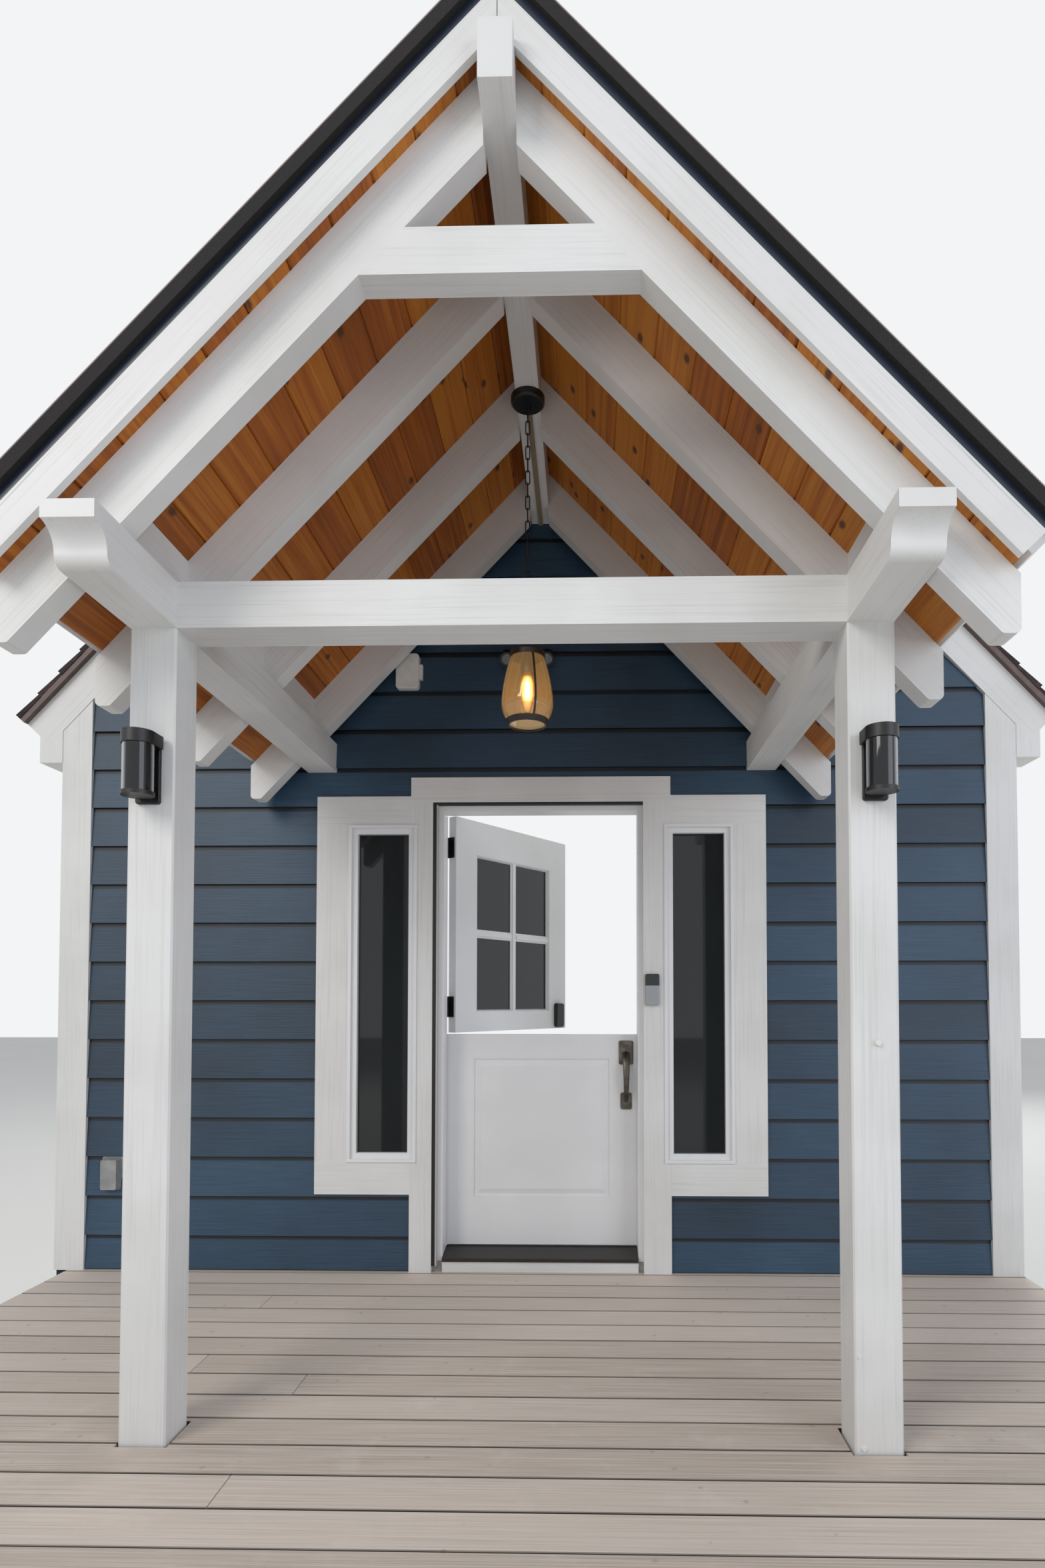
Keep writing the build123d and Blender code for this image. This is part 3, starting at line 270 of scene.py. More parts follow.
def makeCeilingStain():
    sizes = ceilingStain
    material = newMaterial("stainedKnottyPine", Roughness=0.55)
    rings = pattern(material, sizes["ringMm"], "board", Detail=3, Distortion=1.2)
    fibre = pattern(material, sizes["fibreMm"], "board", Detail=4)
    knots = addNode(material, "TexVoronoi", {
        "Vector": grainCoords(material, "board", sizes["knotMm"]),
        "Scale": 1}, "Distance", voronoi_dimensions="2D")
    tone = tinted(material, sizes["tintShare"], rings)
    base = addNode(material, "ValToRGB", {0: tone}, stops=sizes["tones"])
    streak = addNode(material, "ValToRGB", {0: fibre}, stops=sizes["streak"])
    base = addNode(material, "Mix", {0: sizes["streakShare"], 6: base, 7: streak}, **multiply)
    knots = addNode(material, "ValToRGB", {0: knots}, stops=sizes["knotSpread"])
    base = addNode(material, "Mix", {0: knots, 6: base, 7: sizes["knot"]}, **colours)
    return linkShader(material, fibre, sizes, Base_Color=base)


# Deck: softwood boards under a worn solid stain. Gives the eye a warm taupe with grey streaks
# along the grain, scuffs, boards that differ a little, and joints darkened with painted shade.
deckStain = {
    "tones": [(0.42, "#B4A79B"), (0.62, "#CEC1B5"), (0.85, "#DED2C7")], "tintShare": 0.3,
    "grainMm": (520, 5), "worn": "#E6DCD2", "wornSpread": [(0.56, "#000000"), (0.74, "#8C8C8C")],
    "wornMm": 160, "speck": "#978A7F", "speckSpread": [(0.045, "#B0B0B0"), (0.09, "#000000")],
    "speckMm": 110, "joint": "#2F2925", "jointShadeSpread": [(0.5, "#000000"), (0.8, "#FFFFFF")],
    "frontEdge": 5 * mm, "bump": 0.4, "depthMm": 0.8,
}


def makeDeckStain():
    sizes = deckStain
    material = newMaterial("stainedDecking", Roughness=0.72)
    grain = pattern(material, sizes["grainMm"], "board", Detail=6, Roughness=0.65)
    tone = tinted(material, sizes["tintShare"], grain)
    base = addNode(material, "ValToRGB", {0: tone}, stops=sizes["tones"])
    worn = pattern(material, sizes["wornMm"], stops=sizes["wornSpread"], Detail=6, Roughness=0.7)
    base = addNode(material, "Mix", {0: worn, 6: base, 7: sizes["worn"]}, **colours)
    specks = addNode(material, "TexVoronoi", {
        "Vector": addNode(material, "TexCoord", out="Object"),
        "Scale": 1000 / sizes["speckMm"]}, "Distance")
    specks = addNode(material, "ValToRGB", {0: specks}, stops=sizes["speckSpread"])
    base = addNode(material, "Mix", {0: specks, 6: base, 7: sizes["speck"]}, **colours)
    # Painted shade in the joints: the boards' side faces, which look along the depth, are darkened,
    # but not at the deck's front edge
    jointShade = addNode(material, "ValToRGB", {0: facingAlong(material, "Y")},
                      stops=sizes["jointShadeSpread"])
    behind = addNode(material, "Math", {
        0: placeAlong(material, "Y"), 1: deckFront + sizes["frontEdge"]}, operation="GREATER_THAN")
    jointShade = addNode(material, "Math", {0: jointShade, 1: behind}, operation="MULTIPLY")
    base = addNode(material, "Mix", {0: jointShade, 6: base, 7: sizes["joint"]}, **colours)
    return linkShader(material, grain, sizes, Base_Color=base)


# Structural timber: pressure-treated softwood, sawn. Gives the eye a dull tan with greenish grey
# streaks and no sheen.
sawnTimber = {"tones": [(0.35, "#756A54"), (0.65, "#9A8B70")], "sizeMm": (500, 6),
              "noise": {"Detail": 6, "Roughness": 0.65}, "bump": 0.5, "depthMm": 1.0}

# Cast concrete footing under the door. Gives the eye a pitted, uneven grey.
concrete = {"tones": [(0.35, "#8A8883"), (0.65, "#A6A39D")], "sizeMm": 40,
            "noise": {"Detail": 8, "Roughness": 0.7}, "bump": 0.4, "depthMm": 1.5}


# In both of these one noise gives the tones and the relief
def makeRough(name, sizes, roughness, direction=None):
    material = newMaterial(name, Roughness=roughness)
    noise = pattern(material, sizes["sizeMm"], direction, **sizes["noise"])
    base = addNode(material, "ValToRGB", {0: noise}, stops=sizes["tones"])
    return linkShader(material, noise, sizes, Base_Color=base)


# Asphalt shingles: mineral granules pressed into bitumen. Gives the eye a dark speckled surface
# with no gloss. Real granules are 1.5 mm and are drawn at 5 mm so that they show.
shingleFace = {"granuleMm": 5, "granuleShare": 0.3, "toneMm": 120, "tintShare": 0.4,
               "spread": (0.45, 0.8, 1.0), "bump": 0.6, "depthMm": 1.2}


def makeShingles(name, *tones):
    sizes = shingleFace
    material = newMaterial(name, Roughness=0.9)
    granules = addNode(material, "TexVoronoi", {
        "Vector": addNode(material, "TexCoord", out="Object"),
        "Scale": 1000 / sizes["granuleMm"]}).node.outputs
    speckle = addNode(material, "SeparateColor", {"Color": granules["Color"]})
    tone = pattern(material, sizes["toneMm"], Detail=3)
    tone = addNode(material, "Math", {
        0: speckle, 1: sizes["granuleShare"], 2: tinted(material, sizes["tintShare"], tone)},
        operation="MULTIPLY_ADD")
    base = addNode(material, "ValToRGB", {0: tone}, stops=list(zip(sizes["spread"], tones)))
    return linkShader(material, granules["Distance"], sizes, Base_Color=base)


# Door, frame and sash: sprayed enamel on flat boards. Gives the eye a cleaner, cooler white with
# a low sheen and a fine orange-peel surface.
enamel = {"cloudMm": 500, "cloudDetail": 4, "spread": (0.35, 0.65), "grainMm": 3,
          "bump": 0.2, "depthMm": 0.15}

# Coated metal: folded or cast, with a baked powder coat. Gives the eye an even dark skin with a
# fine texture and soft highlights; where it is bronze, lighter metal shows through in places.
coat = {"cloudMm": 45, "cloudDetail": 5, "spread": (0.45, 0.75), "grainMm": 2.5,
        "bump": 0.15, "depthMm": 0.2, "smoother": 0.07, "rougher": 0.1}

# Moulded ABS and polycarbonate: a fine moulded texture. Gives the eye an even, slightly waxy skin.
moulded = {"cloudMm": 60, "cloudDetail": 3, "spread": (0.35, 0.65), "grainMm": 1.8,
           "bump": 0.12, "depthMm": 0.15}


# A skin has a soft cloud of two tones and a fine grain, and a coat also varies in gloss
def makeSkin(name, skin, tones, roughness, metallic=0.0):
    material = newMaterial(name, Roughness=roughness, Metallic=metallic)
    cloud = pattern(material, skin["cloudMm"], Detail=skin["cloudDetail"])
    base = addNode(material, "ValToRGB", {0: cloud}, stops=list(zip(skin["spread"], tones)))
    if "rougher" in skin:
        gloss = addNode(material, "MapRange", {
            "Value": cloud, "To Min": roughness - skin["smoother"],
            "To Max": roughness + skin["rougher"]})
        linkShader(material, Roughness=gloss)
    return linkShader(material, pattern(material, skin["grainMm"], Detail=2), skin, Base_Color=base)


# The bell: satin polycarbonate. Gives the eye a dark lens over a grey body, split at a height.
bell = {"tones": [(0.62, "#9DA1A5"), (0.63, "#2B2D30")], "grainMm": 2, "bump": 0.08, "depthMm": 0.1}


def makeBellPlastic():
    material = newMaterial("satinPolycarbonate", Roughness=0.3)
    share = heightShare(material, "doorbell")
    base = addNode(material, "ValToRGB", {0: share}, stops=bell["tones"])
    return linkShader(material, pattern(material, bell["grainMm"], Detail=2), bell, Base_Color=base)


# Float and blown glass: soda-lime, IOR 1.52. Gives the eye sharp reflections; the depth of tint
# says how much shows through, and the shades have slight waves from blowing.
glass = {"IOR": 1.52, "Roughness": 0.03}
paneWaves = {"sizeMm": 900, "bump": 0.2, "depthMm": 0.5}
lensWaves = {"sizeMm": 25, "bump": 0.2, "depthMm": 0.2}
shadeWaves = {"sizeMm": 60, "bump": 0.2, "depthMm": 0.3}


def makeGlass(name, colour, clearness, waves, **sockets):
    material = newMaterial(name, Base_Color=linear(colour), Transmission_Weight=clearness,
                           **glass, **sockets)
    return linkShader(material, pattern(material, waves["sizeMm"], Detail=2), waves)


# Lantern glass: a thick cylinder. Gives the eye a dark middle of painted shade between pale rims
# of painted reflection, where the wall of the cylinder is seen edge on.
lantern = {"tones": [(0.35, "#1C2026"), (0.6, "#E2E4E5")], "clearness": 0.55}


def makeLanternGlass():
    material = newMaterial("lampGlassPaintedLight", Transmission_Weight=lantern["clearness"], **glass)
    # Painted light: dark where the glass faces the eye, pale where it is seen edge on
    edgeOn = addNode(material, "LayerWeight", {"Blend": 0.5}, "Facing")
    base = addNode(material, "ValToRGB", {0: edgeOn}, stops=lantern["tones"])
    return linkShader(material, Base_Color=base)


# Blown amber glass round the bulb, over a frosted lens in its foot. Gives the eye a pale honey
# shade that lets the bulb show, and a cream disc below; both carry a faint painted glow for the
# bulb's light on them.
amber = {"shade": "#EBD3A6", "lens": "#F0DDBB", "glow": "#A98450", "lensGlow": "#E8CFA2",
         "strength": 0.12, "clearness": 0.86, "lensTop": 14 * mm}


def makeAmberGlass():
    # Painted light: the shade and its lens glow faintly, standing in for the bulb's light on them
    material = makeGlass("amberBlownGlass", amber["shade"], amber["clearness"], shadeWaves,
                         Emission_Strength=amber["strength"])
    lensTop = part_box("pendant_glass")[0].z + amber["lensTop"]
    isLens = addNode(material, "Math", {0: placeAlong(material, "Z"), 1: lensTop},
                     operation="LESS_THAN")
    base = addNode(material, "Mix", {0: isLens, 6: amber["shade"], 7: amber["lens"]}, **colours)
    glow = addNode(material, "Mix", {0: isLens, 6: amber["glow"], 7: amber["lensGlow"]}, **colours)
    return linkShader(material, Base_Color=base, Emission_Color=glow)


# Lit bulb: a warm filament in clear glass. Gives the eye a bright narrow flame at mid height that
# fades to deep amber at the sides, the neck and the tip.
bulbLight = {
    "across": [(0.05, "#FFF6DC"), (0.16, "#FFC869"), (0.45, "#6B4018")], "strength": 7.0,
    "upward": [(0.0, "#4A3A28"), (0.25, "#8A7A60"), (0.4, "#FFFFFF"), (0.7, "#FFFFFF"),
               (0.92, "#3A2C1C")],
}


def makeBulb():
    material = newMaterial("litFilamentBulb", Roughness=0.08, IOR=glass["IOR"],
                           Emission_Strength=bulbLight["strength"])
    edgeOn = addNode(material, "LayerWeight", {"Blend": 0.5}, "Facing")
    glow = addNode(material, "ValToRGB", {0: edgeOn}, stops=bulbLight["across"])
    share = heightShare(material, "pendant_bulb")
    flame = addNode(material, "ValToRGB", {0: share}, stops=bulbLight["upward"])
    glow = addNode(material, "Mix", {0: 1.0, 6: glow, 7: flame}, **multiply)
    return linkShader(material, Base_Color=glow, Emission_Color=glow)


# Screen track: coated aluminium. Gives the eye a black channel with a pale lip along the inner
# edge of its upright.
track = {"channel": 17 * mm, "head": 12.5 * mm, "dark": "#121214", "lip": "#B5B4B0"}


def makeTrackMetal():
    low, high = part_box("screen_track")
    material = newMaterial("coatedAluminiumTrack", Roughness=0.45)
    inward = addNode(material, "Math", {0: placeAlong(material, "X"), 1: low.x + track["channel"]},
                     operation="GREATER_THAN")
    below = addNode(material, "Math", {0: placeAlong(material, "Z"), 1: high.z - track["head"]},
                    operation="LESS_THAN")
    onLip = addNode(material, "Math", {0: inward, 1: below}, operation="MULTIPLY")
    base = addNode(material, "Mix", {0: onLip, 6: track["dark"], 7: track["lip"]}, **colours)
    return linkShader(material, Base_Color=base)


# Wall shell: plaster inside and on its cut ends, dark sheathing in front under the siding. Gives
# the eye a matt off-white with faint trowel marks.
wallShell = {"plaster": [(0.35, "#D2CDC3"), (0.65, "#D8D4CB")], "sheathing": "#1D303F",
             "trowelMm": 160, "frontEdge": 1 * mm, "bump": 0.3, "depthMm": 1.0}


def makeWallShell():
    sizes = wallShell
    material = newMaterial("plasteredWall", Roughness=0.8)
    trowel = pattern(material, sizes["trowelMm"], Detail=6)
    plaster = addNode(material, "ValToRGB", {0: trowel}, stops=sizes["plaster"])
    front = addNode(material, "Math", {
        0: placeAlong(material, "Y"), 1: wallFace + sizes["frontEdge"]}, operation="LESS_THAN")
    base = addNode(material, "Mix", {0: front, 6: plaster, 7: sizes["sheathing"]}, **colours)
    return linkShader(material, trowel, sizes, Base_Color=base)


# Verge of the porch roof, told apart by the height square off the slope. Gives the eye a smooth
# coated band below, lighter blue towards its foot as a painted sheen, the granular edge of the
# covering above it, and a pale painted highlight along its outer corner.
verge = {"foot": 69 * mm, "top": 132 * mm, "bandShare": 0.41, "highlightShare": 0.95,
         "band": "#171E2B", "bandSheen": "#2A3547", "line": "#8F807B",
         "edge": [(0.35, "#0E0C0D"), (0.7, "#1C1819")], "bandGloss": 0.35, "edgeGloss": 0.85,
         "granuleMm": 5, "bump": 0.6, "depthMm": 1.6}


def makeVerge():
    sizes = verge
    material = newMaterial("porchRoofVerge")
    side = addNode(material, "Math", {0: placeAlong(material, "X")}, operation="ABSOLUTE")
    rise = addNode(material, "Math", {
        0: placeAlong(material, "Z"), 1: cos(pitch), 2: -porchRoof["peak"] * cos(pitch)},
        operation="MULTIPLY_ADD")
    lift = addNode(material, "Math", {0: side, 1: sin(pitch), 2: rise}, operation="MULTIPLY_ADD")
    share = addNode(material, "MapRange", {
        "Value": lift, "From Min": sizes["foot"], "From Max": sizes["top"]})
    granules = pattern(material, sizes["granuleMm"], Detail=4)
    edge = addNode(material, "ValToRGB", {0: granules}, stops=sizes["edge"])
    # Painted sheen: the coated band is lighter blue towards its foot
    band = addNode(material, "ValToRGB", {0: share}, stops=[
        (0.0, sizes["bandSheen"]), (sizes["bandShare"], sizes["band"])])
    isEdge = addNode(material, "Math", {0: share, 1: sizes["bandShare"]}, operation="GREATER_THAN")
    # Painted highlight: a pale line along the outer corner of the edge
    onHighlight = addNode(material, "Math", {0: share, 1: sizes["highlightShare"]}, operation="GREATER_THAN")
    base = addNode(material, "Mix", {0: isEdge, 6: band, 7: edge}, **colours)
    base = addNode(material, "Mix", {0: onHighlight, 6: base, 7: sizes["line"]}, **colours)
    gloss = addNode(material, "MapRange", {
        "Value": isEdge, "To Min": sizes["bandGloss"], "To Max": sizes["edgeGloss"]})
    height = addNode(material, "Math", {0: granules, 1: isEdge}, operation="MULTIPLY")
    return linkShader(material, height, sizes, Base_Color=base, Roughness=gloss)


casingHeadDepth = 116.5 * mm
doorLegs = (0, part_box("door_casing")[1].z - casingHeadDepth)
sidelightLegs = tuple(corner.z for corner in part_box("sidelight_sashes"))
umberCoat = makeSkin("umberCoatedSteel", coat, ("#5C4C49", "#6D5C58"), 0.5)
blackCoat = makeSkin("blackPowderCoat", coat, ("#0D0D0F", "#17171A"), 0.42)
bronzeSill = makeSkin("darkBronzeAnodised", coat, ("#231E1C", "#2E2825"), 0.4)
rubbedBronze = makeSkin("oilRubbedBronze", coat, ("#231917", "#33251F"), 0.4)
agedPewter = makeSkin("agedPewter", coat, ("#57524C", "#7C756D"), 0.38, 1.0)
whiteEnamel = makeSkin("whiteEnamel", enamel, ("#DEDFE0", "#E6E7E8"), 0.34)
whitePlastic = makeSkin("whiteABS", moulded, ("#D8D6D1", "#E4E3DF"), 0.42)
greyPlastic = makeSkin("greyPolycarbonate", moulded, ("#858786", "#9A9C9B"), 0.4)
charcoalShingle = makeShingles("charcoalAsphaltShingle", "#16181C", "#24272D", "#3A3E46")
umberShingle = makeShingles("umberAsphaltShingle", "#241B1D", "#372B2D", "#51433F")
# Painted shade: the panes are dark and nearly opaque, for the unlit room behind them
paneGlass = makeGlass("shadedFloatGlass", "#151B1D", 0.25, paneWaves)
lensGlass = makeGlass("frostedLampLens", "#7D8286", 0.3, lensWaves)

nodeFinishes = [
    (makeWallShell(), "wall_left wall_right wall_over_door"),
    (makeRough("castConcrete", concrete, 0.9), "sill_base"),
    (makeTrimPaint("upright", "z"), "corner_boards eave_boxes posts"),
    (makeTrimPaint("across", "x"), "sill_board tie_beam collar_tie"),
    (makeTrimPaint("forward", "y"), "plate_beams ridge_beam frieze_blocks eave_trim"),
    (makeTrimPaint("sloping", "porchSlope"), "front_rafters common_rafters barge_boards"),
    (makeTrimPaint("rake", "houseSlope"), "rake_boards"),
    (makeTrimPaint("doorCasing", "z", doorLegs), "door_casing"),
    (makeTrimPaint("sidelightCasing", "z", sidelightLegs), "sidelight_casings"),
    (whiteEnamel, "door_frame sidelight_sashes lower_leaf upper_leaf"),
    (makeTrackMetal(), "screen_track"),
    (bronzeSill, "threshold"),
    (blackCoat, "jamb_hinges lower_hinges upper_hinges upper_lock post_lamps flood_light "
                "pendant_canopy pendant_chain"),
    (rubbedBronze, "pendant_frame"),
    (agedPewter, "handle_set"),
    (paneGlass, "sidelight_glass upper_leaf_glass"),
    (makeLanternGlass(), "post_lamp_glass"),
    (makeAmberGlass(), "pendant_glass"),
    (makeBulb(), "pendant_bulb"),
    (charcoalShingle, "roof_slabs"),
    (makeVerge(), "verge_trim"),
    (makeRough("treatedSoftwood_x", sawnTimber, 0.85, "x"), "deck_rim"),
    (makeRough("treatedSoftwood_y", sawnTimber, 0.85, "y"), "deck_joists wiring_batten"),
    (makeBellPlastic(), "doorbell"),
    (greyPlastic, "outlet_box"),
    (whitePlastic, "alarm_box"),
]
for finish, names in nodeFinishes:
    for nodeName in names.split():
        slots = nodes[nodeName].data.materials
        slots.clear()
        slots.append(finish)
print("frame nodes finished, materials made:", len(bpy.data.materials))


# Puts a mesh, lamp or camera into the scene
def addObject(name, data):
    thing = bpy.data.objects.new(name, data)
    bpy.context.scene.collection.objects.link(thing)
    return thing


# A shape gathers boards before they become one mesh
def newShape():
    return {"points": [], "faces": [], "maps": [], "tints": []}


# Each board's grain starts somewhere else on a 30 m square, so that no two look alike
def grainSlip():
    return Vector((dice.uniform(0, 30), dice.uniform(0, 30)))


# Outline given a length: place turns (a, b, end) into a point. Each face is mapped with the
# board's length first.
def addPrism(shape, outline, place):
    first = len(shape["points"])
    count = len(outline)
    tint = dice.random()
    slip = grainSlip()
    rings = [[Vector(place(a, b, end)) for a, b in outline] for end in (0, 1)]
    shape["points"] += rings[0] + rings[1]
    axis = (rings[1][0] - rings[0][0]).normalized()
    around = 0.0
    for i in range(count):
        j = (i + 1) % count
        width = (rings[0][j] - rings[0][i]).length
        corners = [(0, i, around), (0, j, around + width), (1, j, around + width), (1, i, around)]
        shape["faces"].append([first + end * count + k for end, k, across in corners])
        shape["maps"].append([slip + Vector((rings[end][k].dot(axis), across))
                              for end, k, across in corners])
        around += width
    for end in (0, 1):
        shape["faces"].append([first + end * count + k for k in range(count)])
        shape["maps"].append([slip + Vector(pair) for pair in outline])
    shape["tints"] += [tint] * (count + 2)


# Turns a shape into a piece that rides on a body of the frame
def makePiece(name, shape, material, body, replaced=(), turn=None):
    mesh = bpy.data.meshes.new(name)
    mesh.from_pydata([tuple(p) for p in shape["points"]], [], shape["faces"])
    layer = mesh.uv_layers.new(name="grain")
    layer.data.foreach_set("uv", [c for face in shape["maps"] for pair in face for c in pair])
    tints = mesh.attributes.new("tint", "FLOAT", "FACE")
    tints.data.foreach_set("value", shape["tints"])
    if turn:
        mesh.transform(turn)
    work = bmesh.new()
    work.from_mesh(mesh)
    bmesh.ops.recalc_face_normals(work, faces=work.faces)
    work.to_mesh(mesh)
    work.free()
    mesh.materials.append(material)
    piece = addObject(name, mesh)
    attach(piece, body)
    if replaced:
        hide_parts(*replaced)
    return piece


# Point on a roof, from the distance down its slope, the height square off it and the depth
def slopePoint(roof, side, down, lift, depth):
    return (roof["centre"] + side * (down * cos(pitch) + lift * sin(pitch)), depth,
            roof["peak"] - down * sin(pitch) + lift * cos(pitch))


# Porch ceiling: boards that run from the barge board back to the wall
ceilingBoards = {"width": 158 * mm, "groove": 5 * mm, "joint": 1.5 * mm, "ridgeJoint": 1 * mm}


def makeCeilingBoards():
    sizes = ceilingBoards
    shape = newShape()
    count = round(slopeLength / sizes["width"])
    width = slopeLength / count
    groove = sizes["groove"]
    top = ceilingThickness
    mitre = sizes["ridgeJoint"] / cos(pitch)
    for side in (-1, 1):
        for i in range(count):
            low = slopeLength - i * width
            high = low - width + sizes["joint"]
            outline = [(low - groove, 0), (low, groove), (low, top)]
            if i == count - 1:
                outline += [(mitre - top * tan(pitch), top), (mitre, 0)]
            else:
                outline += [(high, top), (high, groove), (high + groove, 0)]

            def place(down, lift, end):
                return slopePoint(porchRoof, side, down, lift,
                                  roofFront + end * (wallFace - roofFront))
            addPrism(shape, outline, place)
    makePiece("ceiling_boards", shape, makeCeilingStain(), "porch", ["ceiling"])


# Shingles of the porch roof, in courses from the eave up, with a course of caps on the ridge
porchShingles = {"exposure": 140 * mm, "tab": 305 * mm, "slot": 5 * mm, "butt": 6.5 * mm,
                 "top": 1.5 * mm, "leastCourse": 30 * mm, "lift": 124 * mm,
                 "capHalf": 150 * mm, "capLap": 40 * mm, "capLift": 9 * mm}
courseJoint = 0.4 * mm


# One course, cut into tabs of uneven start
def addTabs(shape, sizes, roof, side, lift, upper, lower, front, back):
    width = sizes["tab"]
    start = front - dice.uniform(0, width)
    outline = [(upper, lift), (lower - courseJoint, lift),
               (lower - courseJoint, lift + sizes["butt"]), (upper, lift + sizes["top"])]
    while start < back:
        near = max(start + sizes["slot"], front)
        far = min(start + width, back)
        start += width

        def place(down, up, end):
            return slopePoint(roof, side, down, up, near + end * (far - near))
        if far - near >= sizes["slot"]:
            addPrism(shape, outline, place)


def makePorchShingles():
    sizes = porchShingles
    shape = newShape()
    highest = sizes["capHalf"] - sizes["capLap"] - sizes["lift"] * tan(pitch)
    for side in (-1, 1):
        lower = slopeLength
        while lower > highest + sizes["leastCourse"]:
            upper = max(lower - sizes["exposure"], highest)
            addTabs(shape, sizes, porchRoof, side, sizes["lift"], upper, lower, roofFront, wallFace)
            lower = upper
    makePiece("porch_shingles", shape, charcoalShingle, "porch")


# One bent cap over a ridge, thicker at its front end where it lies on the next
capTaper = 0.45


def addCap(shape, sizes, roof, lift, near, far):
    half = sizes["capHalf"]
    thick = sizes["capLift"]

    def place(across, up, end):
        side = -1 if across < 0 else 1
        rise = lift + up * (1 - capTaper * end)
        down = abs(across) - (rise if across == 0 else lift) * tan(pitch)
        return slopePoint(roof, side, down, rise, near + end * (far - near))
    addPrism(shape, [(-half, 0), (0, 0), (half, 0), (half, thick), (0, thick), (-half, thick)],
             place)


def makePorchRidgeCaps():
    sizes = porchShingles
    shape = newShape()
    near = roofFront
    while near < wallFace - courseJoint:
        far = min(near + sizes["exposure"], wallFace)
        addCap(shape, sizes, porchRoof, sizes["lift"], near, far - courseJoint)
        near = far
    makePiece("porch_ridge_caps", shape, charcoalShingle, "porch", ["ridge_cap"])


# Edge of the house roof: a folded metal edge under stacked shingles that step down the slope. The
# last course is flat, under the cap.
houseEdge = {"exposure": 142 * mm, "tab": 240 * mm, "slot": 0.5 * mm, "butt": 24 * mm,
             "top": 13 * mm, "metal": 24 * mm, "metalSetback": 6 * mm, "ragged": 5 * mm,
             "capHalf": 150 * mm, "capLift": 12 * mm, "leastCourse": 30 * mm, "ridgeJoint": 0.2 * mm}
rakeDepth = 145 * mm
houseLow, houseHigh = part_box("house_roof_edge")
houseRoof = {"centre": houseCentre, "peak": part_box("wall_over_door")[1].z - rakeDepth / cos(pitch)}
houseThickness = (houseHigh.z - houseRoof["peak"]) * cos(pitch) - rakeDepth
houseSlope = (houseHigh.x - houseCentre - (rakeDepth + houseThickness) * sin(pitch)) / cos(pitch)


def makeHouseRoofEdge():
    sizes = houseEdge
    metal = newShape()
    shingles = newShape()
    front = houseLow.y
    over = rakeDepth + sizes["metal"]
    mitre = sizes["ridgeJoint"] / cos(pitch)
    highest = mitre - over * tan(pitch)
    for side in (-1, 1):
        outline = [(mitre - rakeDepth * tan(pitch), rakeDepth), (houseSlope, rakeDepth),
                   (houseSlope, over), (highest, over)]

        def place(down, up, end):
            near = front + sizes["metalSetback"]
            return slopePoint(houseRoof, side, down, up, near + end * (wallBack - near))
        addPrism(metal, outline, place)
        lower = houseSlope
        while lower > highest:
            upper = lower - sizes["exposure"]
            course = sizes
            if upper < highest + sizes["leastCourse"]:
                upper = highest
                course = dict(sizes, butt=sizes["top"])
            near = front + dice.uniform(0, sizes["ragged"])
            addTabs(shingles, course, houseRoof, side, over, upper, lower, near, wallBack)
            lower = upper
    capLift = rakeDepth + houseThickness - sizes["capLift"]
    addCap(shingles, sizes, houseRoof, capLift, front, wallBack)
    makePiece("house_edge_metal", metal, umberCoat, "porch")
    makePiece("house_edge_shingles", shingles, umberShingle, "porch",
              ["house_roof_edge"])


makeCeilingBoards()
makePorchShingles()
makePorchRidgeCaps()
makeHouseRoofEdge()
print("roofs covered")


# Lap siding: each course is a board that leans out to its lower edge, cut round the trim. This is
# the trim's edge, as heights where it steps; 0 where it runs across the door.
def trimSteps():
    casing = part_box("door_casing")[1]
    blockLow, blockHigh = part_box("sidelight_casings")
    joint = siding["joint"]
    return [(0.0, casing.x + joint), (blockLow.z - joint, blockHigh.x + joint),
            (blockHigh.z + joint, casing.x + joint), (casing.z + joint, 0.0)]


# Points up the inner edge of a course between two heights, as far as the trim reaches
def innerEdge(low, high, steps):
    x = [reach for z, reach in steps if z <= low][-1]
    points = [(x, low)]
    for z, nextX in steps:
        if low < z < high:
            points += [(x, z), (nextX, z)]
            x = nextX
    points.append((x, high))
    return [point for point in points if point[0] > 0]


# Points down the outer edge of a course, along the rake board and then the corner board
def outerEdge(side, low, high, top):
    reach = wallHalf - siding["cornerBoard"] - siding["joint"]
    bend = top - reach * tan(pitch)
    heights = [high] + ([bend] if low < bend < high else []) + [low]
    return [(houseCentre + side * min(reach, (top - z) / tan(pitch)), z) for z in heights]


def makeSiding():
    sizes = siding
    steps = trimSteps()
    shape = newShape()
    top = houseRoof["peak"] - sizes["joint"] / cos(pitch)
    low = deckTop + sizes["footGap"]
    lap = deckTop + sizes["firstLap"]
    while low < top - sizes["leastCourse"]:
        high = min(lap, top - sizes["joint"]) - sizes["lap"]
        lapLow = lap - sizes["course"]

        def place(x, z, end):
            share = (z - lapLow) / sizes["course"]
            lean = sizes["butt"] + share * (sizes["top"] - sizes["butt"])
            return (x, wallFace if end else wallFace - lean, z)
        inner = innerEdge(low, high, steps)
        right = outerEdge(1, low, high, top)
        left = outerEdge(-1, low, high, top)
        mirror = [(-x, z) for x, z in inner]
        if inner and inner[-1][1] == high:
            rings = [inner + right, mirror + left]
        else:
            rings = [left[::-1] + right + inner + mirror[::-1]]
        for ring in rings:
            addSidingBoard(shape, ring, place)
        low = lap
        lap += sizes["course"]
    makePiece("lap_siding", shape, makeSidingPaint(), "porch")


# A siding board is mapped along the wall, which is not its direction of extrusion
def addSidingBoard(shape, ring, place):
    first = len(shape["faces"])
    addPrism(shape, ring, place)
    slip = grainSlip()
    for number in range(first, len(shape["faces"])):
        points = [shape["points"][k] for k in shape["faces"][number]]
        shape["maps"][number] = [slip + Vector((point.x, point.z + point.y)) for point in points]


makeSiding()
print("walls clad")


